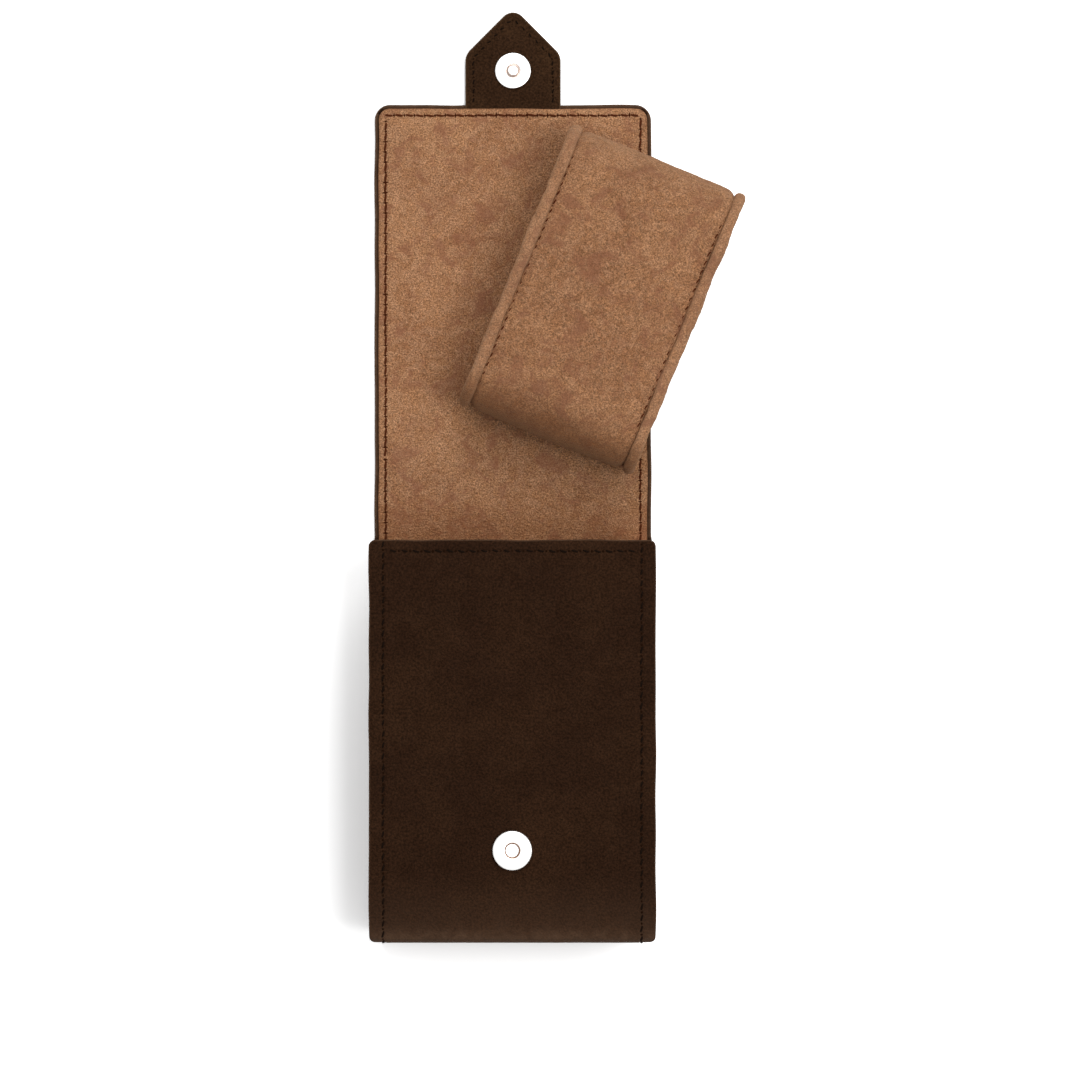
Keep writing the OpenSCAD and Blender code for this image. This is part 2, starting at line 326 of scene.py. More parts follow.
def grain_group():
    """Fine leather grain: small cells broken by noise, with a few pores."""
    n, given, result = new_group("Leather grain", {"Cell size": 0.0008}, ("Height", "Pores"))
    vector, scale = given["Vector"], n.math("DIVIDE", 1.0, given["Cell size"])
    folds = n.remap(n.cells(vector, scale, "DISTANCE_TO_EDGE"), 0.0, 0.25)
    rough = n.noise(vector, n.times(scale, 0.35), 4.0, 0.6)
    spots = n.cells(vector, n.times(scale, 0.6))
    n.fill(result, {"Height": n.math("ADD", n.times(folds, 0.35), rough),
                    "Pores": n.remap(spots, 0.05, 0.22, 1.0, 0.0)})


def leather_material(name, lift=None):
    """Waxed dark leather: cloudy tone, fine grain and paler worn edges.

    lift is a colour that the tone is multiplied by; the tab's inner layer uses it as painted
    light, a lighter copy of the same leather."""
    c = colours()
    n = Finish(name)
    vector = n.vector(uses_map=True)
    clouds, marks, nap = n.group("Mottle", vector, 0.022, 0.005, 0.0006)
    height, pores = n.group("Leather grain", vector, 0.0009)
    base = n.mix(n.times(n.remap(clouds, 0.38, 0.66), 0.3), c.leather, c.leather_worn)
    base = n.mix(n.times(n.remap(marks, 0.38, 0.68), 0.3), base, scaled(c.leather, 0.7))
    base = n.tint(base, n.remap(nap, 0.32, 0.68, 0.55, 1.5))
    base = n.tint(base, n.remap(pores, 0.2, 1.0, 1.0, 0.6))
    wear_and_shade = n.times(n.wear_and_shade(), n.remap(marks, 0.3, 0.7, 0.5, 1.0))
    base = n.mix(wear_and_shade, base, c.leather_edge)
    # lift makes a lighter copy of the leather: painted light.
    if lift:
        base = n.tint(base, lift)
    normal = n.bump(nap, 0.00018, 0.6, n.bump(height, 0.0003, 0.7))
    return n.done({"Base Color": base, "Roughness": n.remap(marks, 0.3, 0.75, 0.6, 0.78),
                   "Specular IOR Level": 0.06, "Specular Tint": (1.0, 0.7, 0.48),
                   "Normal": normal})


def suede_material(name, depth=None, pale=0.0):
    """Brushed suede: patches where the nap lies two ways, over a fine fibrous nap.

    On the lining it is creased and darker towards the fold, where the map's V is zero: the
    darkening is painted shade, for the shade that the pouch casts beside its mouth, and the crease
    lines carry painted shade.
    On the cushion, depth darkens it, partly for its own darker tone and partly as painted shade,
    and its lower end gets painted shade; pale mixes in a paler tone, a painted highlight on the
    rims."""
    c = colours()
    n = Finish(name)
    vector = n.vector(uses_map=not depth)
    clouds, marks, nap = n.group("Mottle", vector, 0.016, 0.0032, 0.0006)
    base = n.mix(n.times(n.remap(clouds, 0.38, 0.64), 0.42), c.suede, c.suede_dark)
    base = n.mix(n.times(n.remap(marks, 0.36, 0.66), 0.42), base, c.suede_light)
    fine = n.noise(vector, 2700.0, 3.0, 0.7, 0.6)
    base = n.tint(base, n.remap(nap, 0.34, 0.68, 0.86, 1.13))
    base = n.tint(base, n.remap(fine, 0.36, 0.66, 0.5, 1.56))
    blush = n.noise(vector, 150.0, 3.0, 0.55, 1.0)
    base = n.mix(n.remap(blush, 0.48, 0.68, 0.0, 0.6), base, c.suede_blush)
    pits = n.noise(vector, 700.0, 2.0, 0.5, 0.5)
    base = n.mix(n.remap(pits, 0.6, 0.72, 0.0, 0.45), base, c.suede_dark)
    # The mark darkens the lining's cut edges as wear, and on the cushion it adds painted shade at
    # the lower end.
    wear_and_shade = n.wear_and_shade()
    base = n.mix(n.times(wear_and_shade, 0.35), base, c.suede_dark)
    normal = n.bump(fine, 0.0004, 0.9, n.bump(nap, 0.0004, 0.7))
    normal = n.bump(marks, 0.0009, 0.4, normal)
    # Painted highlight on the rims, where light catches them.
    if pale:
        base = n.mix(pale, base, c.suede_rim_highlight)
    if depth:
        # A darker copy of the suede, partly its own darker tone and partly painted shade.
        base = n.tint(base, (depth, depth * 0.965, depth * 0.94))
        # Painted shade at the cushion's lower end, which turns away from the light.
        base = n.mix(wear_and_shade, base, (0.68, 0.57, 0.46), "MULTIPLY")
    else:
        # Painted shade: the suede darkens towards the fold, for the shade that the pouch casts
        # beside its mouth.
        way = n.add("ShaderNodeSeparateXYZ", {"Vector": vector}).outputs["Y"]
        way = n.math("ABSOLUTE", way)
        base = n.mix(n.times(n.remap(way, 0.0, 0.016, 1.0, 0.0), 0.3), base, c.suede_fold_shade)
        squeezed = n.add("ShaderNodeMapping", {"Vector": vector, "Scale": (0.7, 1.25, 1.0)})
        creases = n.cells(squeezed.outputs[0], 950.0, "DISTANCE_TO_EDGE")
        creases = n.remap(creases, 0.0, 0.3)
        reach = n.remap(way, 0.002, 0.04, 0.4, 0.06)
        # Painted shade in the crease lines and painted light between them, over their bump.
        crease_shaded = n.tint(base, n.remap(creases, 0.0, 0.7, 0.72, 1.12))
        base = n.mix(n.times(reach, 0.5), base, crease_shaded)
        normal = n.bump(n.times(creases, reach), 0.0004, 0.8, normal)
    return n.done({"Base Color": base, "Roughness": 0.92, "Specular IOR Level": 0.1,
                   "Sheen Weight": 0.5 if depth else 0.1, "Sheen Roughness": 0.5,
                   "Sheen Tint": linear("e0b48c"), "Normal": normal})


def scaled(tint, factor):
    return tuple(min(v * factor, 1) for v in tint)


def flecked(n, first, second, scale, detail, span=None):
    """Noise on object coordinates, and a colour that runs between two tones with it."""
    fleck = n.noise(n.vector(), scale, detail)
    return fleck, n.mix(n.remap(fleck, *span) if span else fleck, first, second)


def thread_material(name, tint):
    """Waxed thread with a fine twist."""
    n = Finish(name)
    fibre, base = flecked(n, tint, scaled(tint, 1.7), 4000.0, 2.0, (0.35, 0.7))
    return n.done({"Base Color": base, "Roughness": 0.8, "Specular IOR Level": 0.03,
                   "Normal": n.bump(fibre, 0.00005, 0.5)})


def hole_shade_material(name, tint):
    """Painted shade for the dark balls of the needle holes and the dark strands of the creases."""
    n = Finish(name)
    base = flecked(n, scaled(tint, 0.6), tint, 3000.0, 3.0)[1]
    return n.done({"Base Color": base, "Roughness": 0.95, "Specular IOR Level": 0.0})


def metal_material(name):
    """Bright nickel with a faint handling haze, and brown painted into the turned grooves: a
    painted reflection of the leather and painted shade.
    """
    n = Finish(name)
    tint = colours().metal
    haze, base = flecked(n, tint, scaled(tint, 0.95), 900.0, 3.0, (0.35, 0.7))
    return n.done({"Base Color": n.mix(n.wear_and_shade(), base, colours().groove_shade), "Metallic": 1.0,
                   "Roughness": n.remap(haze, 0.3, 0.75, 0.22, 0.34),
                   "Normal": n.bump(haze, 0.00001, 0.3)})


def inner_material(name, code, grain, rough, metallic=0.0):
    """Plain material for a piece that the case hides: board, magnet or steel."""
    n = Finish(name)
    fleck, base = flecked(n, scaled(linear(code), 0.75), linear(code), 1 / grain, 4.0)
    return n.done({"Base Color": base, "Roughness": rough, "Metallic": metallic,
                   "Normal": n.bump(fleck, grain / 4, 0.4)})


def finish(make, name, *values):
    """The material of that name, made when it is first asked for."""
    return bpy.data.materials.get(name) or make(name, *values)


def leather():
    return finish(leather_material, "waxed_leather")


def suede():
    return finish(suede_material, "brushed_suede")


def nickel():
    return finish(metal_material, "snap_nickel")


# ---- meshes ----

def new_object(name, vertices, faces, material=None, piece_slot=None, edges=()):
    mesh = bpy.data.meshes.new(name)
    mesh.from_pydata([tuple(v) for v in vertices], edges, faces)
    mesh.update()
    made = bpy.data.objects.new(name, mesh)
    bpy.context.collection.objects.link(made)
    if material:
        mesh.materials.append(material)
    return made


def tidy_mesh(made, merge=True):
    """Merges doubles, turns all faces outwards and shades smooth."""
    work = bmesh.new()
    work.from_mesh(made.data)
    if merge:
        bmesh.ops.remove_doubles(work, verts=work.verts, dist=1e-6)
    bmesh.ops.recalc_face_normals(work, faces=work.faces)
    for face in work.faces:
        face.smooth = True
    work.to_mesh(made.data)
    work.free()
    made.data.update()


def apply_modifiers(made):
    """Turns what the modifiers make into the object's own mesh."""
    graph = bpy.context.evaluated_depsgraph_get()
    mesh = bpy.data.meshes.new_from_object(made.evaluated_get(graph), depsgraph=graph,
                                           preserve_all_data_layers=True)
    made.modifiers.clear()
    made.data = mesh


def mark_edge(piece, values):
    """Writes the edge mark of each point: how rubbed it is on leather and suede, and how much
    painted shade it gets in the snap's grooves and at the cushion's lower end.
    """
    mark = piece.data.attributes.new("edge", "FLOAT", "POINT")
    mark.data.foreach_set("value", np.asarray(values, np.float32))


def points_of(mesh):
    places = np.zeros(len(mesh.vertices) * 3)
    mesh.vertices.foreach_get("co", places)
    return places.reshape(-1, 3)


def bridge(before, after):
    """Faces between two closed rows of points."""
    count = len(before)
    return [(before[i], before[(i + 1) % count], after[(i + 1) % count], after[i])
            for i in range(count)]


def joined_rings(rings, closed=False):
    """Vertices and faces of rings joined one to the next, and closed if asked."""
    count = len(rings[0])
    rows = [range(r * count, (r + 1) * count) for r in range(len(rings))]
    pairs = zip(rows, rows[1:] + (rows[:1] if closed else []))
    return [point for ring in rings for point in ring], [f for p in pairs for f in bridge(*p)]


def triangulate(flat, count):
    """Fills the loop of the first count points, using the rest inside it."""
    loop = [(i, (i + 1) % count) for i in range(count)]
    found = geometry.delaunay_2d_cdt([Vector(p) for p in flat], loop, [], 1, 1e-9)
    return found[0], found[2], found[3]


def unit(vectors):
    return vectors / np.linalg.norm(vectors, axis=-1)[..., None]


def rounded(corners, step):
    """Closed outline through (u, v, radius) corners, counter-clockwise, a point every step."""
    points = []
    for i, (u, v, radius) in enumerate(corners):
        here = np.array((u, v))
        if radius <= 0:
            points.append(here)
            continue
        before = unit(np.array(corners[i - 1][:2]) - here)
        after = unit(np.array(corners[(i + 1) % len(corners)][:2]) - here)
        half = acos(np.clip(before @ after, -1, 1)) / 2
        reach = radius / tan(half)
        centre = here + unit(before + after) * radius / sin(half)
        start = here + before * reach - centre
        end = here + after * reach - centre
        sweep = pi - 2 * half
        turns = max(3, int(sweep * radius / ARC_STEP))
        for k in range(turns + 1):
            a = k / turns
            arm = start * sin((1 - a) * sweep) + end * sin(a * sweep)
            points.append(centre + arm / sin(sweep))
    dense = []
    for i, point in enumerate(points):
        ahead = points[(i + 1) % len(points)]
        pieces = max(1, int(np.linalg.norm(ahead - point) / step))
        dense.extend(point + (ahead - point) * k / pieces for k in range(pieces))
    return np.array(dense)


def inward(ring):
    """Unit vector into a counter-clockwise ring, at each of its points."""
    along = unit(unit(np.roll(ring, -1, 0) - ring) + unit(ring - np.roll(ring, 1, 0)))
    return np.column_stack([-along[:, 1], along[:, 0]])


def edge_distance(points, ring):
    """Distance of each point to the ring, above zero inside it."""
    nearest = np.full(len(points), np.inf)
    inside = np.zeros(len(points), bool)
    for a, b in zip(ring, np.roll(ring, -1, 0)):
        side = b - a
        share = np.clip(((points - a) @ side) / (side @ side), 0, 1)
        away = np.linalg.norm(points - a - share[:, None] * side, axis=1)
        nearest = np.minimum(nearest, away)
        if a[1] != b[1]:
            crosses = (a[1] > points[:, 1]) != (b[1] > points[:, 1])
            at = a[0] + (points[:, 1] - a[1]) / (b[1] - a[1]) * side[0]
            inside ^= crosses & (points[:, 0] < at)
    return np.where(inside, nearest, -nearest)


def steps(low, high, pitch, close=()):
    """Places from low to high every pitch, and finer ones within reach of each close place."""
    places = list(np.linspace(low, high, max(2, int((high - low) / pitch))))
    for place, reach in close:
        half = int(reach / FINE)
        places = [p for p in places if abs(p - place) > reach + FINE / 2]
        places += [place + k * FINE for k in range(-half, half + 1)]
    return sorted(p for p in places if low <= p <= high)


def both_sides(right):
    """Corners of an outline from its right half, which runs upwards from the low end."""
    left = [(-u, v, radius) for u, v, radius in right]
    return [left[0], *right, *left[:0:-1]]


def none(u, v):
    return np.zeros(len(u))


def full(u, v):
    return np.ones(len(u))


def sheet(name, corners, thickness, place, material, piece_slot, close_u=None, close_v=(),
          outer=none, inner=none, rim=None, drift=None, wear=none, rim_wear=full):
    """A closed sheet of leather or suede with rounded edges.

    place(u, v, h) bends the flat sheet into space, where h runs from 0 on its outer
    face to thickness on its inner face. outer and inner shift the two faces along h,
    and drift moves the cut edge in or out a little. wear gives the rubbed places on the
    two faces, and rim_wear how worn the cut edge is. The mesh is finer at close_u on
    both sides, and at the places in close_v.
    """
    pitch = sizes().pitch
    rim = min(rim or sizes().rim, thickness / 2 * 0.98)
    ring = rounded(corners, RING_STEP)
    if drift:
        ring = ring + inward(ring) * drift(*ring.T)[:, None]
    normal = inward(ring)
    core = ring + normal * rim
    low, high = ring.min(0), ring.max(0)
    sides = [close_u, (-close_u[0], close_u[1])] if close_u else []
    us, vs = steps(low[0], high[0], pitch, sides), steps(low[1], high[1], pitch, close_v)
    grid = np.array([(u, v) for u in us for v in vs])
    grid = grid[edge_distance(grid, core) > GRID_GAP]
    found, triangles, sources = triangulate(np.vstack([core, grid]), len(core))
    flat = np.array([tuple(p) for p in found])
    where = {min(source): i for i, source in enumerate(sources) if source}
    outline = [where[i] for i in range(len(core))]

    profile = [(rim * (1 - sin(a)), rim * (1 - cos(a)))
               for a in map(radians, (30, 60, 90))]
    profile += [(inset, thickness - h) for inset, h in reversed(profile)]
    maps = [flat, flat] + [ring + normal * inset for inset, h in profile]
    heights = [0.0, thickness] + [h for inset, h in profile]

    def lay(points, h):
        u, v = points.T
        share = h / thickness
        return place(u, v, h + ((1 - share) * outer(u, v) + share * inner(u, v)))

    count, top = len(core), len(flat)
    rows = [range(2 * top + k * count, 2 * top + (k + 1) * count) for k in range(len(profile))]
    rows = [outline, *rows, [i + top for i in outline]]
    faces = [tuple(reversed(t)) for t in triangles]
    faces += [tuple(i + top for i in t) for t in triangles]
    for before, after in zip(rows, rows[1:]):
        faces += bridge(before, after)
    vertices = np.vstack([lay(points, h) for points, h in zip(maps, heights)])
    piece = new_object(name, vertices, faces, material, piece_slot)
    index = np.zeros(len(piece.data.loops), int)
    piece.data.loops.foreach_get("vertex_index", index)
    layer = piece.data.uv_layers.new(name="Sheet")
    layer.data.foreach_set("uv", np.vstack(maps)[index].ravel())
    wear_and_shade = [wear(*flat.T)] * 2 + [rim_wear(*row.T) for row in maps[2:]]
    mark_edge(piece, np.concatenate(wear_and_shade))
    tidy_mesh(piece, merge=False)
    return piece


def cut_at(piece, y, keep_above):
    """Cuts a sheet square at y and closes the cut, so that the next one butts against it."""
    work = bmesh.new()
    work.from_mesh(piece.data)
    found = bmesh.ops.bisect_plane(work, geom=[*work.verts, *work.edges, *work.faces],
                                   plane_co=(0, y, 0), plane_no=(0, 1, 0),
                                   clear_inner=keep_above, clear_outer=not keep_above)
    edges = [e for e in found["geom_cut"] if isinstance(e, bmesh.types.BMEdge)]
    for part in edges + bmesh.ops.holes_fill(work, edges=edges)["faces"]:
        part.smooth = False
    work.to_mesh(piece.data)
    work.free()


def fix(piece, body, *nodes):
    """Fixes a piece to a body, in place of the frame's nodes."""
    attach(piece, body)
    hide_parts(*nodes)


def bend(piece, joint, *nodes):
    """Bakes a piece's place into its mesh, in place of the frame's nodes, which it hides.

    The joint is not used."""
    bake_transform(piece)
    if nodes:
        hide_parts(*nodes)


# ---- the places of the sheets ----

def smooth_step(value):
    value = np.clip(value, 0, 1)
    return value * value * (3 - 2 * value)


def ripple(u, v, size, height, phase=0.0):
    """Slow unevenness of hand-worked leather."""
    a, b = u / size, v / size
    wave = np.sin(2.1 * a + 1.3 * b + phase) + np.sin(-1.7 * a + 2.6 * b + 2 * phase + 1)
    return height * (wave + 0.6 * np.sin(4.3 * a - 3.1 * b + 3 * phase)) / 2.6


def flat_at(level, way=1):
    """Lays a sheet flat, with h running up or down from a level."""
    return lambda u, v, h: np.column_stack([u, v, level + way * h + 0 * u])


def place_wrap(u, s, h):
    """Bends the flat strip round the pouch: s runs from the hinge down the back,
    round the bottom and up the front, and below zero onto the lid."""
    radius = sizes().bottom_radius
    h = h + 0 * u
    quarter = radius * pi / 2
    s1 = HINGE_Y - BOTTOM_Y - radius
    s2 = s1 + quarter
    s3 = s2 + DEPTH - 2 * radius
    s4 = s3 + quarter
    middle = BOTTOM_Y + radius
    arm = radius - h
    a1 = np.clip((s - s1) / radius, 0, pi / 2)
    a2 = np.clip((s - s3) / radius, 0, pi / 2)
    y = np.where(s > s1, middle - arm * np.sin(a1), HINGE_Y - s)
    z = np.where(s > s1, radius - arm * np.cos(a1), h)
    z = np.where(s > s2, radius + np.minimum(s, s3) - s2, z)
    y = np.where(s > s3, middle - arm * np.cos(a2), y)
    z = np.where(s > s3, DEPTH - radius + arm * np.sin(a2), z)
    y = np.where(s > s4, middle + (s - s4), y)
    return np.column_stack([u, y, z])


def wrap_length():
    """Length of the strip from the hinge round to the mouth's rim on the front."""
    radius = sizes().bottom_radius
    back = HINGE_Y - BOTTOM_Y - radius
    return back + pi * radius + DEPTH - 2 * radius + MOUTH_Y - BOTTOM_Y - radius


def front_s(y):
    """Place along the strip of a point y on the front panel."""
    return wrap_length() - (MOUTH_Y - y)


def bottom_bends():
    """Where the strip turns the pouch's bottom, for a finer mesh."""
    turn = HINGE_Y - BOTTOM_Y
    return [(turn, BEND_REACH),
            (turn + DEPTH - 2 * sizes().bottom_radius + 2.2 * MM, BEND_REACH)]


# ---- relief and wear ----

def groove(distance, at, depth, width=0.55 * MM):
    """Furrow that a stitch row pulls into a surface."""
    return depth * np.exp(-((distance - at) / width) ** 2)


def seam_relief(distance, seam, fall, wide=1.6 * MM):
    """Furrow at a stitch row and a thinner margin outside it."""
    margin = fall * smooth_step((seam - distance) / wide)
    return groove(distance, seam, sizes().groove) + margin


def lid_edge(u, v):
    """Distance to the lid's nearest cut edge, where v is the place along Y."""
    return np.minimum(LID_HALF - abs(u), LID_END - v)


def wrap_outer(u, v):
    """Relief of the leather's outer face on the pouch and the top panel."""
    s = sizes()
    half = np.where(v > 0, HALF_W, LID_HALF)
    side = seam_relief(half - abs(u), np.where(v > 0, s.seam, s.lid_seam), MARGIN_FALL)
    mouth = seam_relief(wrap_length() - v, s.mouth_seam, 0.1 * MM)
    inside = smooth_step((half - abs(u)) / (2 * MM))
    on_front = smooth_step((v - front_s(UNEVEN_FRONT_Y)) / (6 * MM))
    return np.maximum(side, mouth * inside) + ripple(u, v, 11 * MM, 0.09 * MM) * on_front


def lid_outer(u, v):
    """Relief of the leather's outer face on the lid."""
    return seam_relief(lid_edge(u, v), sizes().lid_seam, MARGIN_FALL)


def lid_inner(u, v):
    """Relief of the suede on the lid: it drops at the stitch row and at its cut edge."""
    s = sizes()
    edge = np.where(v < 6 * MM, LID_HALF - abs(u), lid_edge(u, v))
    fall = 0.5 * MM * smooth_step((s.lid_seam - edge) / (1.7 * MM))
    swell = ripple(u, v, 17 * MM, 0.12 * MM, 2.0) * smooth_step(edge / (6 * MM))
    return -fall - groove(edge, s.lid_seam, s.groove * SUEDE_PULL) + swell - 0.1 * MM


def corner_pull(v):
    """How far the seam pulls the strip's edges in where it turns the bottom corners."""
    round_off = 1.2 * MM
    y = place_wrap(np.zeros(len(v)), v, 0.0)[:, 1]
    reach = np.clip(round_off - (y - BOTTOM_Y), 0, round_off)
    return round_off - np.sqrt(round_off ** 2 - reach ** 2)


def lid_drift(u, v):
    """Unevenness of the lid's cut edges."""
    return ripple(u, v, 9 * MM, 0.13 * MM)


def wrap_drift(u, v):
    """Unevenness of the wrap's cut edges, with a slight pinch where it turns the bottom."""
    bottom = wrap_length() - (MOUTH_Y - BOTTOM_Y)
    pinch = 0.34 * MM * smooth_step(1 - abs(v - bottom + 22 * MM) / (30 * MM))
    return lid_drift(u, HINGE_Y - v) + np.where(v > 0, pinch + corner_pull(v), 0)


def wrap_wear(u, v):
    """Paler leather where the strip turns the pouch's bottom, and along the lid's edges."""
    turn = front_s(BOTTOM_Y + 0.8 * MM)
    back_turn = HINGE_Y - BOTTOM_Y - 1.5 * MM
    near = np.where(v > turn, v - turn, np.maximum(back_turn - v, 0))
    near = np.where((v > back_turn) & (v < turn), 1.2 * MM, near)
    turned = 0.45 * np.exp(-(near / (2.2 * MM)) ** 2) + 0.18 * smooth_step(1 - near / (20 * MM))
    return np.where(v < 0, 0.7 * (LID_HALF - abs(u) < WORN_WIDTH), turned)


def lid_wear(u, v):
    """Paler leather along the lid's edges."""
    return 0.7 * (lid_edge(u, v) < WORN_WIDTH)


# ---- stitches ----

def stitch_tree():
    """Geometry nodes that set slanted stitches every pitch along a row, with a dark ball between
    two stitches as the painted shade of a needle hole and, where Creased is set, a dark strand
    across it as the painted shade of a crease."""
    tree = bpy.data.node_groups.new("Stitches", "GeometryNodeTree")
    n = Nodes(tree)

    def socket(label, kind, in_out="INPUT"):
        return tree.interface.new_socket(label, in_out=in_out, socket_type="NodeSocket" + kind)

    socket("Geometry", "Geometry")
    for label, value in (("Pitch", 0.003), ("Length", 0.0022), ("Thread", 0.0004),
                         ("Slant", 0.45), ("Hole width", 0.7), ("Crease", 0.0006)):
        socket(label, "Float").default_value = value
    socket("Creased", "Bool")
    socket("Material", "Material")
    socket("Hole material", "Material")
    socket("Geometry", "Geometry", "OUTPUT")
    given = n.add("NodeGroupInput").outputs
    thread, wide = given["Thread"], given["Crease"]

    def node(kind, inputs=None, **values):
        return n.add("GeometryNode" + kind, inputs, **values).outputs[0]

    def point(x=0.0, y=0.0, z=0.0):
        return n.add("ShaderNodeCombineXYZ", {"X": x, "Y": y, "Z": z}).outputs[0]

    def strand(start, middle, end, radius, sides):
        path = node("CurveQuadraticBezier",
                    {"Resolution": 6, "Start": start, "Middle": middle, "End": end})
        girth = node("CurvePrimitiveCircle", {"Resolution": sides, "Radius": radius})
        return node("CurveToMesh", {"Curve": path, "Profile Curve": girth, "Fill Caps": True})

    def turned(axis, inputs, **values):
        return n.add("FunctionNodeAlignRotationToVector", inputs, axis=axis, **values).outputs[0]

    def joined(*parts):
        join = n.add("GeometryNodeJoinGeometry")
        for part in parts:
            tree.links.new(part, join.inputs[0])
        return join.outputs[0]

    row = node("MeshToCurve", {"Mesh": given["Geometry"]})
    dense = node("ResampleCurve", {"Curve": row, "Length": n.times(given["Pitch"], 0.5)},
                 mode="LENGTH")
    odd = n.math("MODULO", node("InputIndex"), 2.0)
    even = n.math("SUBTRACT", 1.0, odd)
    up = node("InputNamedAttribute", {"Name": "up"}, data_type="FLOAT_VECTOR")
    along = turned("X", {"Vector": node("InputTangent")})
    stand = turned("Z", {"Rotation": along, "Vector": up}, pivot_axis="X")

    half = n.times(given["Length"], 0.5)
    sink = n.times(thread, -0.55)
    lean = n.times(thread, given["Slant"])
    stitch = strand(point(n.times(half, -1.0), lean, sink), point(z=n.times(thread, 1.3)),
                    point(half, n.times(lean, -1.0), sink), n.times(thread, 0.5), 7)
    # The needle hole is a dark flattened ball: painted shade.
    ball = node("MeshUVSphere", {"Segments": 8, "Rings": 4, "Radius": 1.0})
    size = point(n.times(thread, 0.62), n.times(thread, given["Hole width"]),
                 n.times(thread, 0.3))
    hole = node("Transform", {"Geometry": ball, "Scale": size})
    # The crease across the row is a dark strand: painted shade.
    raised = n.times(wide, 0.4)
    ends = [point(y=n.times(wide, side), z=raised) for side in (-1.0, 1.0)]
    crease = strand(ends[0], point(z=n.times(wide, -0.15)), ends[1], n.times(wide, 0.2), 5)
    pierced = node("Switch", {"Switch": given["Creased"], "False": hole,
                              "True": joined(hole, crease)}, input_type="GEOMETRY")
    pierced = node("StoreNamedAttribute", {"Geometry": pierced, "Name": "hole", "Value": True},
                   data_type="BOOLEAN", domain="FACE")
    uneven = n.add("FunctionNodeRandomValue", {2: 0.55, 3: 1.2, "Seed": 5}, data_type="FLOAT")
    copies = joined(*[
        node("InstanceOnPoints", {"Points": dense, "Selection": chosen, "Instance": instance,
                                  "Rotation": stand, "Scale": scale})
        for instance, chosen, scale in ((stitch, even, point(1.0, 1.0, 1.0)),
                                        (pierced, odd, point(1.0, uneven.outputs[1], 1.0)))])
    copies = node("RealizeInstances", {"Geometry": node("SetShadeSmooth", {"Geometry": copies})})
    copies = node("SetMaterial", {"Geometry": copies, "Material": given["Material"]})
    is_hole = node("InputNamedAttribute", {"Name": "hole"}, data_type="BOOLEAN")
    copies = node("SetMaterial", {"Geometry": copies, "Selection": is_hole,
                                  "Material": given["Hole material"]})
    n.add("NodeGroupOutput", {0: copies})
    return tree


def stitches(name, rows, material, piece_slot, **changed):
    """Stitches along the rows, as one plain mesh.

    Each row has its points and the direction that the stitch at each stands up in."""
    s = sizes()
    vertices, edges = [], []
    for points, ups in rows:
        first = len(vertices)
        vertices += list(points)
        edges += [(first + i, first + i + 1) for i in range(len(points) - 1)]
    made = new_object(name, vertices, [], edges=edges)
    mark = made.data.attributes.new("up", "FLOAT_VECTOR", "POINT")
    mark.data.foreach_set("vector", np.vstack([ups for points, ups in rows]).ravel())
    modifier = made.modifiers.new("Row", "NODES")
    modifier.node_group = bpy.data.node_groups.get("Stitches") or stitch_tree()
    # Painted shade of the needle holes, in a darker leather tone.
    hole = finish(hole_shade_material, "needle_hole", colours().leather)
    values = {"Pitch": s.stitch_pitch, "Length": s.stitch_length, "Thread": s.thread,
              "Material": material, "Hole material": hole, **changed}
    for item in modifier.node_group.interface.items_tree:
        if item.in_out == "INPUT" and item.name in values:
            modifier[item.identifier] = values[item.name]
    apply_modifiers(made)
    return made


def placed_row(place, points, h):
    """A row of flat (u, v) points on a bent sheet, with the outward direction at each."""
    step, sway, probe = 0.8 * MM, 0.1 * MM, 0.1 * MM
    flat = np.array(points, float)
    dense = [flat[0]]
    for a, b in zip(flat, flat[1:]):
        count = max(1, int(np.linalg.norm(b - a) / step))
        dense += [a + (b - a) * k / count for k in range(1, count + 1)]
    dense = np.array(dense)
    swapped = dense[:, ::-1]
    dense = dense + sway * np.sin(swapped / (5.3 * MM)) * np.sin(swapped / (2.9 * MM))
    here, deeper = (place(*dense.T, np.full(len(dense), h + more)) for more in (0, probe))
    return here, (here - deeper) / probe


# ---- operators, one for each piece or group of pieces ----

class WATCHCASE_OT_leather(bpy.types.Operator):
    """Make the strip that wraps the pouch and runs on as the lid"""
    bl_idname = "watchcase.leather"
    bl_label = "Outer leather"

    def execute(self, context):
        s = sizes()
        end = wrap_length()
        wrap = sheet("pouch_leather",
                     both_sides([(LID_HALF, -MIDDLE_Y, 0), (LID_HALF, -1 * MM, 0),
                                 (HALF_W, 1 * MM, 0), (HALF_W, end, s.mouth_radius)]),
                     LEATHER_T, place_wrap, leather(), "case_leather",
                     close_u=(HALF_W - s.seam + 0.2 * MM, 2 * MM),
                     close_v=[(0.0, FOLD_REACH), *bottom_bends(),
                              (end - s.mouth_seam, SEAM_REACH)],
                     outer=wrap_outer, drift=wrap_drift, wear=wrap_wear,
                     rim_wear=lambda u, v: np.where(v > 0, 0.5, 1.0))
        cut_at(wrap, LEATHER_CUT, keep_above=False)
        bend(wrap, "lid_hinge", "outer_wrap", "top_leather")

        flap = sheet("lid_leather",
                     both_sides([(LID_HALF, LINING_CUT, 0), (LID_HALF, LID_END, s.lid_radius)]),
                     LEATHER_T, flat_at(0.0), leather(), "case_leather",
                     close_u=(LID_HALF - s.lid_seam, SEAM_REACH),
                     close_v=[(FOLD_Y, FOLD_REACH), (LID_END - s.lid_seam, SEAM_REACH)],
                     outer=lid_outer, drift=lid_drift, wear=lid_wear)
        cut_at(flap, LEATHER_CUT, keep_above=True)
        bend(flap, "lid_fold", "flap_leather")
        return {"FINISHED"}


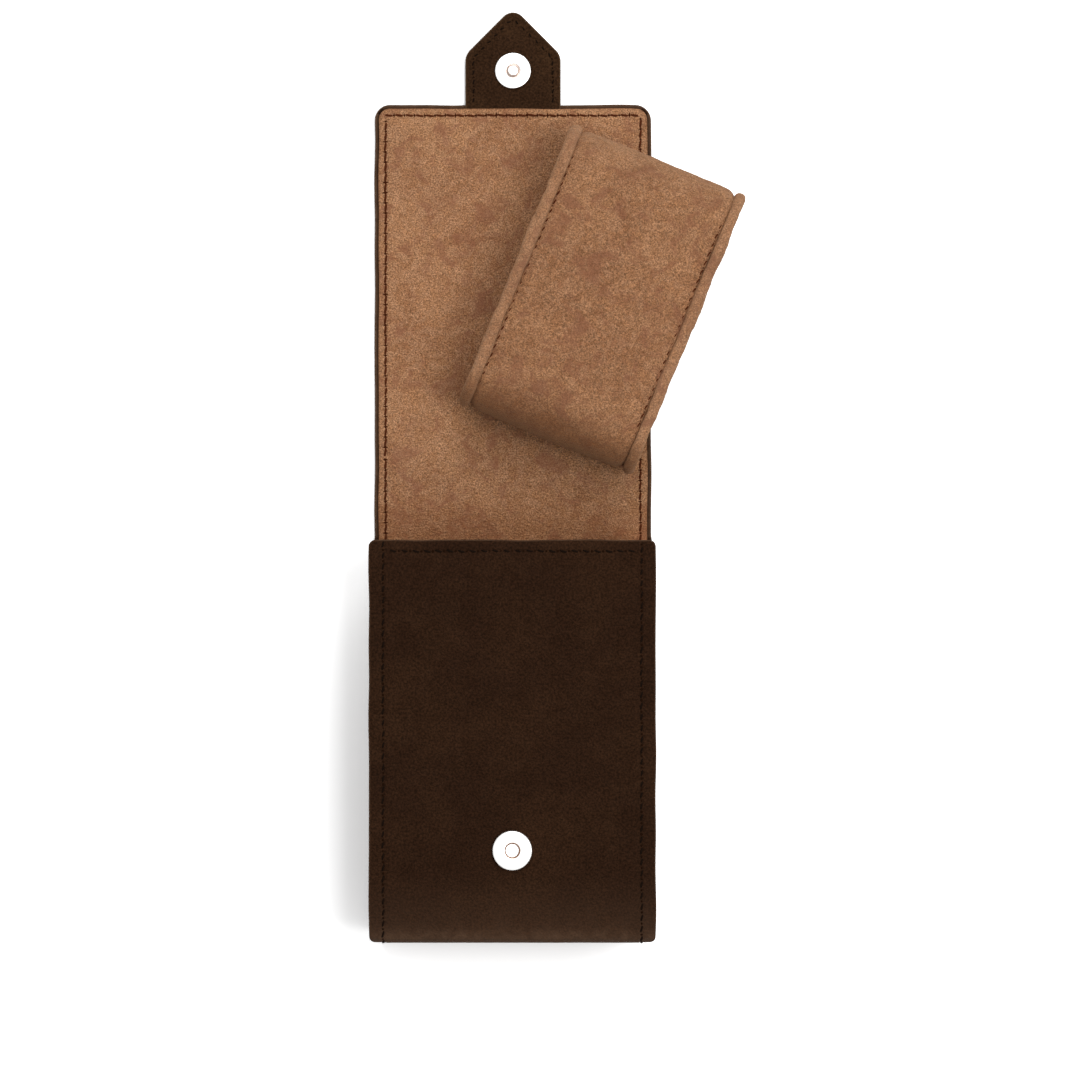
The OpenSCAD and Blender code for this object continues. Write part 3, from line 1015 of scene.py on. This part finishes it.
class WATCHCASE_OT_lining(bpy.types.Operator):
    """Line the pouch and the lid with suede"""
    bl_idname = "watchcase.lining"
    bl_label = "Suede lining"

    def execute(self, context):
        s = sizes()
        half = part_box("pouch_lining")[1].x
        end = wrap_length()

        def sink_at_mouth(u, v):
            return -BOARD_T * smooth_step((1.9 * MM - (end - v)) / (0.7 * MM))

        def lift_in_pouch(u, v):
            return BOARD_T * smooth_step((-1.5 * MM - v) / (0.8 * MM))

        edge = -1.3 * MM  # where the lid's suede narrows to go into the pouch
        pouch = sheet("pouch_suede",
                      both_sides([(half, -2 * edge, 0), (half, end, SMALL_RADIUS)]),
                      PANEL_T - BOARD_TOP, lambda u, v, h: place_wrap(u, v, h + BOARD_TOP),
                      suede(), "suede", outer=sink_at_mouth,
                      close_v=[*bottom_bends(), (end - 1.2 * MM, SEAM_REACH)])
        fix(pouch, "pouch", "pouch_lining")

        thickness = PANEL_T - LEATHER_T
        seam = (LID_HALF - s.lid_seam, SEAM_REACH)
        near = sheet("lid_suede_near",
                     both_sides([(half, 2 * edge, 0), (half, edge, 0.3 * MM),
                                 (LINING_HALF, edge, 0.5 * MM), (LINING_HALF, MIDDLE_Y, 0)]),
                     thickness, flat_at(LEATHER_T), suede(), "suede", close_u=seam,
                     close_v=[(0.0, FOLD_REACH), (LINING_CUT, FINE)],
                     outer=lift_in_pouch, inner=lid_inner, drift=lid_drift)
        cut_at(near, LINING_CUT, keep_above=False)
        bend(near, "lid_hinge", "top_lining")

        far = sheet("lid_suede_far",
                    both_sides([(LINING_HALF, MIDDLE_Y - 2.4 * MM, 0),
                                (LINING_HALF, LINING_HIGH.y, s.lid_radius * 0.72)]),
                    thickness, flat_at(LEATHER_T), suede(), "suede", close_u=seam,
                    close_v=[(FOLD_Y, FOLD_REACH), (LID_END - s.lid_seam, SEAM_REACH),
                             (LINING_CUT, FINE)],
                    inner=lid_inner, drift=lid_drift)
        cut_at(far, LINING_CUT, keep_above=True)
        bend(far, "lid_fold", "flap_lining")
        return {"FINISHED"}


def side_surface(side):
    """Middle surface of a side wall: a flange along the strip, a turn and the wall."""
    skin, turn = 0.6 * MM, 1.1 * MM
    step, spacing = 0.6 * MM, 2.2 * MM
    middle = GUSSET_LOW.x + skin
    start, end = 1.5 * MM, wrap_length() - 0.5 * MM
    along = np.linspace(start, end, int((end - start) / step))
    count = len(along)
    edge = np.minimum(GUSSET_HIGH.x, HALF_W - 0.3 * MM - corner_pull(along))
    rows = [(edge, 0.0), ((edge + middle + turn) / 2, 0.0)]
    for a in map(radians, (0, 18, 36, 54, 72, 90)):
        rows.append((middle + turn * (1 - sin(a)), turn * (1 - cos(a))))
    level = LEATHER_T + 0.05 * MM + skin
    vertices = [point for x, inset in rows
                for point in place_wrap(np.ones(count) * x * side, along,
                                        np.full(count, level + inset))]
    faces = [(i, i + 1, i + 1 + count, i + count)
             for r in range(len(rows) - 1) for i in range(r * count, (r + 1) * count - 1)]

    rim = np.array(vertices[-count:])[:, 1:]
    low, high = rim.min(0) + 1 * MM, rim.max(0) - 0.5 * MM
    inside = [(y, z) for y in np.arange(low[0], high[0], spacing)
              for z in np.arange(low[1], high[1], spacing)]
    mouth = [(MOUTH_EDGE, rim[-1][1] - TOP_DROP), (MOUTH_EDGE, rim[0][1] + FOOT_RISE)]
    found, triangles, sources = triangulate(np.vstack([rim, mouth, inside]), count + len(mouth))
    base = len(vertices) - count
    index = []
    for (y, z), source in zip(found, sources):
        if source and min(source) < count:
            index.append(base + min(source))
        else:
            index.append(len(vertices))
            bow = ripple(np.array([y]), np.array([z]), 15 * MM, 0.12 * MM)[0]
            vertices.append(((middle + bow) * side, y, z))
    return vertices, faces + [tuple(index[i] for i in f) for f in triangles]


class WATCHCASE_OT_gussets(bpy.types.Operator):
    """Make the side walls with their seam flanges, and line them"""
    bl_idname = "watchcase.gussets"
    bl_label = "Side walls"

    def execute(self, context):
        for side, name in ((-1, "left"), (1, "right")):
            wall = new_object(name + "_side_leather", *side_surface(side), leather(),
                              "case_leather")
            tidy_mesh(wall)
            solid = wall.modifiers.new("Thickness", "SOLIDIFY")
            solid.thickness = 1.15 * MM
            solid.offset = 0
            solid.use_even_offset = True
            apply_modifiers(wall)
            tidy_mesh(wall)
            layer = wall.data.uv_layers.new(name="Sheet")
            for corner in wall.data.loops:
                x, y, z = wall.data.vertices[corner.vertex_index].co
                layer.data[corner.index].uv = (y + 0.4 * x, z + 0.4 * x)
            fix(wall, "pouch", name + "_gusset")

            def place_side(u, v, h, side=side):
                return np.column_stack([side * (SIDE_HIGH.x - h) + 0 * u, u, v])

            (y0, z0), (y1, z1) = SIDE_LOW.yz, SIDE_HIGH.yz
            corners = [(y0, z0, 1 * MM), (y1, z0, SMALL_RADIUS),
                       (MOUTH_EDGE, z0 + FOOT_RISE, SMALL_RADIUS),
                       (MOUTH_EDGE, z1 - TOP_DROP, SMALL_RADIUS), (y1, z1, SMALL_RADIUS),
                       (y0, z1, 1 * MM)]
            lining = sheet(name + "_side_suede", corners, SIDE_HIGH.x - SIDE_LOW.x, place_side,
                           suede(), "suede", rim=0.25 * MM)
            fix(lining, "pouch", name + "_gusset_lining")
        return {"FINISHED"}


def tab_corners(root):
    """Outline of the tab from its root to its point."""
    s = sizes()
    half = FACE_HIGH.x
    shoulder = LID_END + s.tab_side
    top = FACE_HIGH.y - 0.5 * MM
    tip = top + 1.4 * MM
    for _ in range(8):
        slope = atan2(half, tip - shoulder)
        tip = top + s.tip_radius / sin(slope) - s.tip_radius
    return [(-half, root, 0.3 * MM), (half, root, 0.3 * MM), (half, shoulder, s.shoulder_radius),
            (0, tip, s.tip_radius), (-half, shoulder, s.shoulder_radius)]


def tab_ring():
    """The tab's outline, running on under the lid so that its root has no seam."""
    return rounded(tab_corners(TAB_ROOT), 0.6 * MM)


class WATCHCASE_OT_tab(bpy.types.Operator):
    """Make the two layers of the closing tab"""
    bl_idname = "watchcase.tab"
    bl_label = "Tab"

    def execute(self, context):
        ring = tab_ring()

        def relief(u, v):
            edge = edge_distance(np.column_stack([u, v]), ring)
            on_tab = smooth_step((v - LID_END + 0.5 * MM) / (1 * MM))
            return seam_relief(edge, sizes().tab_seam, MARGIN_FALL, 1.2 * MM) * on_tab

        # Painted light: a lighter copy of the case leather for the tab's inner layer, which is the
        # same leather.
        pale = finish(leather_material, "tab_leather", (1.5, 1.66, 1.56))
        face = sheet("tab_outer_leather", tab_corners(FACE_LOW.y), FACE_HIGH.z - FACE_LOW.z,
                     flat_at(FACE_LOW.z), leather(), "case_leather", outer=relief)
        back = sheet("tab_inner_leather", tab_corners(BACK_LOW.y), BACK_HIGH.z - BACK_LOW.z,
                     flat_at(BACK_LOW.z), pale, "case_leather",
                     inner=lambda u, v: -relief(u, v), rim_wear=lambda u, v: 0.4 * full(u, v))
        fix(face, "lid_flap", "tab_face")
        fix(back, "lid_flap", "tab_back")
        return {"FINISHED"}


def lathe(name, node, profile, segments=72):
    """Turned piece round the vertical line through a node. The profile is a closed loop of
    (radius, z) in mm, and a third value marks the points that lie in a groove, with how much
    painted groove shade they get."""
    low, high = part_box(node)
    x, y = (low.x + high.x) / 2, (low.y + high.y) / 2
    turns = [2 * pi * k / segments for k in range(segments)]
    rings = [[(x + r * MM * cos(a), y + r * MM * sin(a), z * MM)
              for r, z, *_ in profile] for a in turns]
    made = new_object(name, *joined_rings(rings, closed=True), nickel(), "snap_metal")
    mark_edge(made, [mark[0] if mark else 0.0 for _, _, *mark in profile] * segments)
    tidy_mesh(made)
    return made


def arc(u, v, radius, start=0, count=6):
    """Points of an arc in a profile, from an angle in degrees up to a right angle."""
    turns = [radians(start + (90 - start) * k / count) for k in range(count + 1)]
    return [(u + radius * cos(a), v + radius * sin(a)) for a in turns]


def in_mm(node):
    """Radius, foot and top of a round node, in mm."""
    low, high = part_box(node)
    return (high.x - low.x) / 2 / MM, low.z / MM, high.z / MM


class WATCHCASE_OT_snap(bpy.types.Operator):
    """Turn the two halves of the magnetic snap"""
    bl_idname = "watchcase.snap"
    bl_label = "Magnetic snap"

    def execute(self, context):
        radius, foot, top = in_mm("socket_cap")
        hole, wall = 1.8, 0.3
        # Third values set the painted reflection and shade in the cap's grooves.
        profile = arc(radius - 0.55, top - 0.55, 0.55) + [
            (radius * 0.6, top + 0.02), (hole + 0.42, top), (hole + 0.32, top - 0.01, 0.7),
            (hole + 0.2, top - 0.05, 1.0), (hole, top - 0.16, 1.0),
            (hole - 0.06, top - 0.34, 0.8), (hole, top - 0.7), (hole + 0.2, top - 0.7),
            (radius - wall - 0.5, top - 0.5), (radius - wall, top - 0.9),
            (radius - wall, foot), (radius, foot)]
        fix(lathe("snap_socket", "socket_cap", profile), "pouch", "socket_cap")

        radius, _, tip = in_mm("stud_plate")
        low, top, post = BACK_HIGH.z / MM - 0.1, BACK_HIGH.z / MM + 0.8, 1.6
        profile = [(0.0, low), (radius - 0.1, low)]
        # Third values set the painted reflection and shade in the stud's grooves.
        profile += arc(radius - 0.32, top - 0.32, 0.32, -20) + [
            (radius * 0.9, top), (radius * 0.88, top - 0.04, 0.8), (radius * 0.855, top),
            (radius * 0.6, top), (post + 0.42, top - 0.02), (post + 0.28, top - 0.06, 1.0),
            (post + 0.1, top - 0.06, 0.5), (post, top + 0.05, 0.5)]
        profile += [(*point, 0.75) for point in arc(post - 0.25, tip - 0.25, 0.25)]
        profile += [(post * 0.72, tip, 0.1), (post * 0.4, tip), (post * 0.32, tip - 0.04, 0.7),
                    (post * 0.24, tip), (0.0, tip, 0.3)]
        fix(lathe("snap_stud", "stud_plate", profile), "lid_flap", "stud_plate")
        return {"FINISHED"}


# ---- cushion ----

def cushion_frame():
    """Middle of the cushion, and its width and length directions."""
    boxes = [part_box("cushion_right_rim"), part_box("cushion_left_rim")]
    low = Vector(map(min, *(box[0] for box in boxes)))
    high = Vector(map(max, *(box[1] for box in boxes)))
    a = cushion_sizes().turn
    across = np.array((cos(a), -sin(a), 0))
    along = np.array((sin(a), cos(a), 0))
    return np.array((low + high) / 2), across, along


def cushion_place(points):
    """Puts (across, along, up) points round the cushion's middle."""
    centre, across, along = cushion_frame()
    points = np.asarray(points, float)
    return centre + points[:, :1] * across + points[:, 1:2] * along + points[:, 2:] * UP


def section(half_l, half_t, corner, count=120):
    """Closed rounded oblong in (length, thickness), evenly spaced."""
    ring = rounded(both_sides([(half_l, -half_t, corner), (half_l, half_t, corner)]), 0.5 * MM)
    closed = np.vstack([ring, ring[:1]])
    way = np.r_[0, np.cumsum(np.linalg.norm(np.diff(closed, axis=0), axis=1))]
    at = np.linspace(0, way[-1], count, endpoint=False)
    return np.column_stack([np.interp(at, way, closed[:, i]) for i in (0, 1)])


def rim_path(count):
    """Line that the rims and their stitches follow, and the way out from it."""
    c = cushion_sizes()
    path = section(c.height / 2 - c.rim_height, c.thickness / 2 - c.rim_height,
                   c.corner - c.rim_height, count)
    return path, -inward(path)


def barrel_mesh():
    """The stuffed barrel and its two domed end panels, from rings along its width."""
    c = cushion_sizes()
    half_w = c.width / 2 - c.rim_width
    half_l, half_t = c.height / 2 - c.rim_height * 0.6, c.thickness / 2 - c.rim_height * 0.9
    # share of the half width, and how far the section is drawn in there, in mm
    shape = [(0.0, -0.6), (0.2, -0.6), (0.4, -0.6), (0.6, -0.6), (0.75, -0.6), (0.86, -0.55),
             (0.93, -0.45), (0.965, -0.2), (0.985, 0.2), (1.0, 0.8), (1.03, 1.4), (1.07, 2.8),
             (1.1, 5.0), (1.115, 8.0), (1.12, 11.0)]
    rings = []
    for place, shrink in [(-p, s) for p, s in shape[:0:-1]] + shape:
        shrink *= MM
        ring = section(half_l - shrink, half_t - max(shrink, -0.25 * MM),
                       max(c.corner - c.rim_height - shrink, 1.0 * MM))
        rings.append(cushion_place(np.column_stack([np.full(len(ring), place * half_w), ring])))
    vertices, faces = joined_rings(rings)
    count = len(rings[0])
    for ring, first, way in ((rings[0], 0, -1), (rings[-1], len(vertices) - count, 1)):
        middle = len(vertices)
        vertices.append(np.mean(ring, axis=0))
        faces += [(first + k, first + (k + 1) % count, middle)[::way] for k in range(count)]
    return vertices, faces


def rim_mesh(side):
    """One seam rim: a soft ridge that follows the end of the barrel."""
    c = cushion_sizes()
    middle = side * (c.width / 2 - c.rim_width / 2)
    turns = np.linspace(0, 2 * pi, 20, endpoint=False)
    path, out = rim_path(360)
    rings = []
    for k, (point, normal) in enumerate(zip(path, out)):
        way = 2 * pi * k / len(path)
        drift = (0.5 * sin(7 * way) + 0.35 * sin(13 * way + side)
                 + 0.2 * sin(29 * way))
        loop = []
        for a in turns:
            wide = copysign(abs(cos(a)) ** 0.85, cos(a)) * c.rim_width / 2
            rise = copysign(abs(sin(a)) ** 0.9, sin(a))
            rise *= c.rim_height + 0.1 * MM * drift if rise > 0 else 2.4 * MM
            loop.append((middle + wide + 0.16 * MM * drift, *(point + normal * rise)))
        rings.append(cushion_place(loop))
    return joined_rings(rings + rings[:1])


def seam_row(side):
    """Row of the stitches that close one end of the cushion, in the furrow by its rim."""
    c = cushion_sizes()
    path, out = rim_path(300)
    path = path - out * 0.3 * MM
    x = side * (c.width / 2 - c.rim_width - 0.6 * MM)
    points = cushion_place(np.column_stack([np.full(len(path), x), path]))
    return points, out[:, :1] * cushion_frame()[2] + out[:, 1:] * UP


def roughen(piece, *levels):
    """Moves the points of a piece along their normals by fixed noise of several sizes."""
    moved = []
    for point in piece.data.vertices:
        shift = sum(height * fixed_noise.noise(point.co / size + Vector((k, 2 * k, 0)))
                    for k, (size, height) in enumerate(levels))
        moved.append(point.co + point.normal * shift)
    for point, place in zip(piece.data.vertices, moved):
        point.co = place
    piece.data.update()


def mark_shaded_end(piece):
    """Marks the cushion's end next to the pouch for painted shade, as that end turns away from the
    light.
    """
    centre, _, along = cushion_frame()
    reach = 12 * MM
    below = -((points_of(piece.data) - centre) @ along)
    mark_edge(piece, smooth_step((below - cushion_sizes().height / 2 + reach) / reach))


def fill_cushion(piece):
    """Fills the barrel by pressure, on a copy ten times the size, and keeps the shape."""
    c = cushion_sizes()
    scale, seam_width = 10.0, 1.5 * MM
    centre, across, _ = cushion_frame()
    piece.data.transform(Matrix.Scale(scale, 4))
    remesh = piece.modifiers.new("Cells", "REMESH")
    remesh.mode = "VOXEL"
    remesh.voxel_size = c.voxel * scale
    apply_modifiers(piece)
    rest = points_of(piece.data)
    off_seam = abs(abs((rest / scale - centre) @ across) - (c.width / 2 - c.rim_width))
    pinned = piece.vertex_groups.new(name="Seams")
    pinned.add(np.where(off_seam < seam_width)[0].tolist(), 1.0, "REPLACE")
    cloth = piece.modifiers.new("Filling", "CLOTH")
    cloth.settings.use_pressure = True
    cloth.settings.uniform_pressure_force = 4
    cloth.settings.vertex_group_mass = "Seams"
    cloth.settings.effector_weights.gravity = 0
    cloth.point_cache.frame_start = 1
    cloth.point_cache.frame_end = c.frames
    scene = bpy.context.scene
    for step in range(1, c.frames + 1):
        scene.frame_set(step)
    graph = bpy.context.evaluated_depsgraph_get()
    moved = points_of(piece.evaluated_get(graph).data) - rest
    reach = np.maximum(np.linalg.norm(moved, axis=1), 1e-9)[:, None]
    limit = c.swell * scale
    swollen = rest + moved * (limit * np.tanh(reach / limit) / reach)
    piece.modifiers.clear()
    piece.vertex_groups.clear()
    piece.data.vertices.foreach_set("co", (swollen / scale).ravel())
    piece.data.update()
    scene.frame_set(1)


class WATCHCASE_OT_cushion(bpy.types.Operator):
    """Stuff the cushion and sew its two end rims"""
    bl_idname = "watchcase.cushion"
    bl_label = "Cushion"

    def execute(self, context):
        # A darker copy of the suede for the barrel, partly its own darker tone and partly painted
        # shade.
        material = finish(suede_material, "cushion_suede", 0.82)
        barrel = new_object("cushion_barrel", *barrel_mesh(), material, "suede")
        tidy_mesh(barrel)
        fill_cushion(barrel)
        soften = barrel.modifiers.new("Smooth", "SUBSURF")
        soften.levels = soften.render_levels = 1
        apply_modifiers(barrel)
        tidy_mesh(barrel)
        roughen(barrel, (0.011, 0.0003), (0.0035, 0.00016), (0.0009, 0.00006))
        # Painted shade at the cushion's lower end.
        mark_shaded_end(barrel)
        fix(barrel, "cushion", "cushion_cover", "cushion_core")
        # The rims' suede is a darker copy, partly painted shade, with a painted highlight where
        # light catches them.
        material = finish(suede_material, "rim_suede", 0.85, 0.12)
        for side, name in ((-1, "left"), (1, "right")):
            rim = new_object(f"cushion_{name}_seam", *rim_mesh(side), material, "suede")
            tidy_mesh(rim)
            roughen(rim, (0.008, 0.0003), (0.0021, 0.00014), (0.0008, 0.00012))
            mark_shaded_end(rim)
            fix(rim, "cushion", f"cushion_{name}_rim")
        return {"FINISHED"}


class WATCHCASE_OT_stitching(bpy.types.Operator):
    """Sew the leather, the lining and the tab"""
    bl_idname = "watchcase.stitching"
    bl_label = "Stitching"

    def execute(self, context):
        s = sizes()
        dark = finish(thread_material, "case_thread", colours().thread)
        brown = finish(thread_material, "lining_thread", colours().lining_thread)
        # Painted shade of the needle holes and creases in the suede.
        soft_hole_shade = finish(hole_shade_material, "suede_hole", colours().lining_thread)
        end = wrap_length()
        depth = s.groove * 0.8
        near_end, far_start = MIDDLE_Y - 1 * MM, MIDDLE_Y + 1 * MM
        u, lid_u = HALF_W - s.seam, LID_HALF - s.lid_seam
        lines = [[(side * u, end - 1.2 * MM), (side * u, 1 * MM), (side * lid_u, -1 * MM),
                  (side * lid_u, -near_end)] for side in (-1, 1)]
        u -= s.stitch_pitch * 0.9
        lines.append([(-u, end - s.mouth_seam), (u, end - s.mouth_seam)])
        near = stitches("pouch_stitches", [placed_row(place_wrap, line, depth) for line in lines],
                        dark, "case_leather")
        bend(near, "lid_hinge")

        u, top = lid_u, LID_END - s.lid_seam
        around = [[(-u, far_start), (-u, top - 1.6 * MM)],
                  [(-u + 0.9 * MM, top), (u - 1.6 * MM, top)],
                  [(u, top - 0.9 * MM), (u, far_start)]]
        far = stitches("lid_stitches", [placed_row(flat_at(0.0), row, depth) for row in around],
                       dark, "case_leather")
        bend(far, "lid_fold")

        sunk = s.groove * SUEDE_PULL + MARGIN_FALL
        on_suede = {"Pitch": 2.75 * MM, "Length": 2.35 * MM, "Thread": 0.6 * MM, "Slant": 0.3,
                    "Hole width": 0.8, "Creased": True, "Crease": 0.62 * MM,
                    "Hole material": soft_hole_shade}
        lines = [[(side * u, 0.2 * MM), (side * u, near_end)] for side in (-1, 1)]
        for name, rows, joint in (("near", lines, "lid_hinge"), ("far", around, "lid_fold")):
            made = stitches("lining_stitches_" + name,
                            [placed_row(flat_at(PANEL_T, -1), row, sunk) for row in rows],
                            brown, "suede", **on_suede)
            bend(made, joint)

        ring = tab_ring()
        ring = ring + inward(ring) * s.tab_seam
        ring = ring[ring[:, 1] > LID_END + 1 * MM]
        ring = ring[np.argsort(-np.arctan2(ring[:, 0], ring[:, 1] - LID_END))]
        rows = [placed_row(place, ring, depth)
                for place in (flat_at(BACK_HIGH.z, -1), flat_at(FACE_LOW.z))]
        tab = stitches("tab_stitches", rows, dark, "case_leather", Length=1.2 * MM,
                       Pitch=2.5 * MM, Thread=0.4 * MM)
        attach(tab, "lid_flap")

        on_cushion = {"Pitch": 2.6 * MM, "Length": 1.7 * MM, "Thread": 0.42 * MM,
                      "Slant": 0.42, "Hole width": 0.7, "Hole material": soft_hole_shade}
        seams = stitches("cushion_stitches", [seam_row(-1), seam_row(1)], brown, "suede",
                         **on_cushion)
        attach(seams, "cushion")
        return {"FINISHED"}


class WATCHCASE_OT_inner_parts(bpy.types.Operator):
    """Give the boards and the inside of the snap their finishes"""
    bl_idname = "watchcase.inner_parts"
    bl_label = "Inner parts"

    def execute(self, context):
        board = inner_material("grey_board", "4a4038", 0.0006, 0.8)
        magnet = inner_material("magnet", "3a3a3c", 0.0005, 0.45, 0.8)
        steel = inner_material("steel", "b8b6b0", 0.0004, 0.3, 1.0)
        for material, nodes in ((board, ("back_board", "bottom_board", "front_board")),
                                (magnet, ("socket_magnet",)), (nickel(), ("socket_base",)),
                                (steel, ("socket_washer", "stud_washer"))):
            for node in nodes:
                for place in frame["nodes"][node].material_slots:
                    place.material = material
        gap, radius, play = 0.7 * MM, 1 * MM, 0.05 * MM
        for node, body in (("top_board", "lid_top"), ("flap_board", "lid_flap")):
            low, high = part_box(node)
            corners = both_sides([(high.x - gap, low.y + gap, radius),
                                  (high.x - gap, high.y - gap, radius)])
            piece = sheet("lid_" + node, corners, high.z - low.z - 2 * play,
                          flat_at(low.z + play), board, "board")
            fix(piece, body, node)
        return {"FINISHED"}


class WATCHCASE_OT_stage(bpy.types.Operator):
    """Set the pale floor, the lights and the camera"""
    bl_idname = "watchcase.stage"
    bl_label = "Stage"

    def execute(self, context):
        def seen(n):
            """One for rays that show the stage itself and not the light that it gives."""
            rays = n.add("ShaderNodeLightPath").outputs
            shown = n.math("MAXIMUM", rays["Is Glossy Ray"], rays["Is Transmission Ray"])
            return n.math("MAXIMUM", rays["Is Camera Ray"], shown)

        n = Finish("pale_floor")
        tone = n.noise(n.vector(), 3.0, 2.0)
        plain = n.mix(tone, (0.42,) * 3, (0.44,) * 3)
        pale = n.done({"Base Color": n.mix(seen(n), plain, (1.7,) * 3), "Roughness": 0.9,
                       "Specular IOR Level": 0.0})
        size, low = 4.0, -0.3 * MM
        floor = new_object("floor", [(-size, -size, low), (size, -size, low), (size, size, low),
                                     (-size, size, low)], [(0, 1, 2, 3)], pale)

        world = bpy.data.worlds.new("Soft room")
        world.use_nodes = True
        n = Nodes(world.node_tree)
        strength = n.add("ShaderNodeMapRange", {"Value": seen(n), "To Min": 0.44, "To Max": 1.0})
        n.fill(n.tree.nodes["Background"], {"Color": (1, 1, 1), "Strength": strength.outputs[0]})
        context.scene.world = world

        def put(name, data, place):
            holder = bpy.data.objects.new(name, data)
            holder.location = place
            context.collection.objects.link(holder)
            return holder

        for name, place, size, power in (("Key", (0.38, 0.0, 1.15), 0.5, 6.8),
                                         ("Top", (0.1, 0.98, 1.22), 1.0, 9.6)):
            lamp = bpy.data.lights.new(name, "AREA")
            lamp.size = size
            lamp.energy = power
            towards = (-Vector(place)).to_track_quat("-Z", "Y")
            put(name, lamp, place).rotation_euler = towards.to_euler()

        view = bpy.data.cameras.new("Camera")
        view.sensor_width = 36
        view.lens = 184.9
        view.clip_start = 0.05
        context.scene.camera = put("Camera", view, (0.006, 0.0011, 1.5))
        context.scene.view_settings.view_transform = "Standard"
        return {"FINISHED"}


class WATCHCASE_PT_panel(bpy.types.Panel):
    """Lists the sizes, the colours and the steps that build the case"""
    bl_idname = "WATCHCASE_PT_panel"
    bl_label = "Watch case"
    bl_space_type = "VIEW_3D"
    bl_region_type = "UI"
    bl_category = "Watch case"

    def draw(self, context):
        for kind in OPERATORS:
            self.layout.operator(kind.bl_idname)
        for group in (sizes(), cushion_sizes(), colours()):
            box = self.layout.box()
            for name in group.__annotations__:
                box.prop(group, name)


GROUPS = {"watch_case_sizes": WatchCaseSizes, "watch_case_cushion": WatchCaseCushion,
          "watch_case_colours": WatchCaseColours}
OPERATORS = (WATCHCASE_OT_leather, WATCHCASE_OT_lining, WATCHCASE_OT_gussets, WATCHCASE_OT_tab,
             WATCHCASE_OT_snap, WATCHCASE_OT_cushion, WATCHCASE_OT_stitching,
             WATCHCASE_OT_inner_parts, WATCHCASE_OT_stage)
CLASSES = (*GROUPS.values(), *OPERATORS, WATCHCASE_PT_panel)


def register():
    for kind in CLASSES:
        bpy.utils.register_class(kind)
    for name, kind in GROUPS.items():
        setattr(bpy.types.Scene, name, PointerProperty(type=kind))


def unregister():
    for name in GROUPS:
        delattr(bpy.types.Scene, name)
    for kind in reversed(CLASSES):
        bpy.utils.unregister_class(kind)


def main():
    register()
    mottle_group()
    grain_group()
    for kind in OPERATORS:
        area, name = kind.bl_idname.split(".")
        getattr(getattr(bpy.ops, area), name)()


if __name__ == "__main__":
    main()
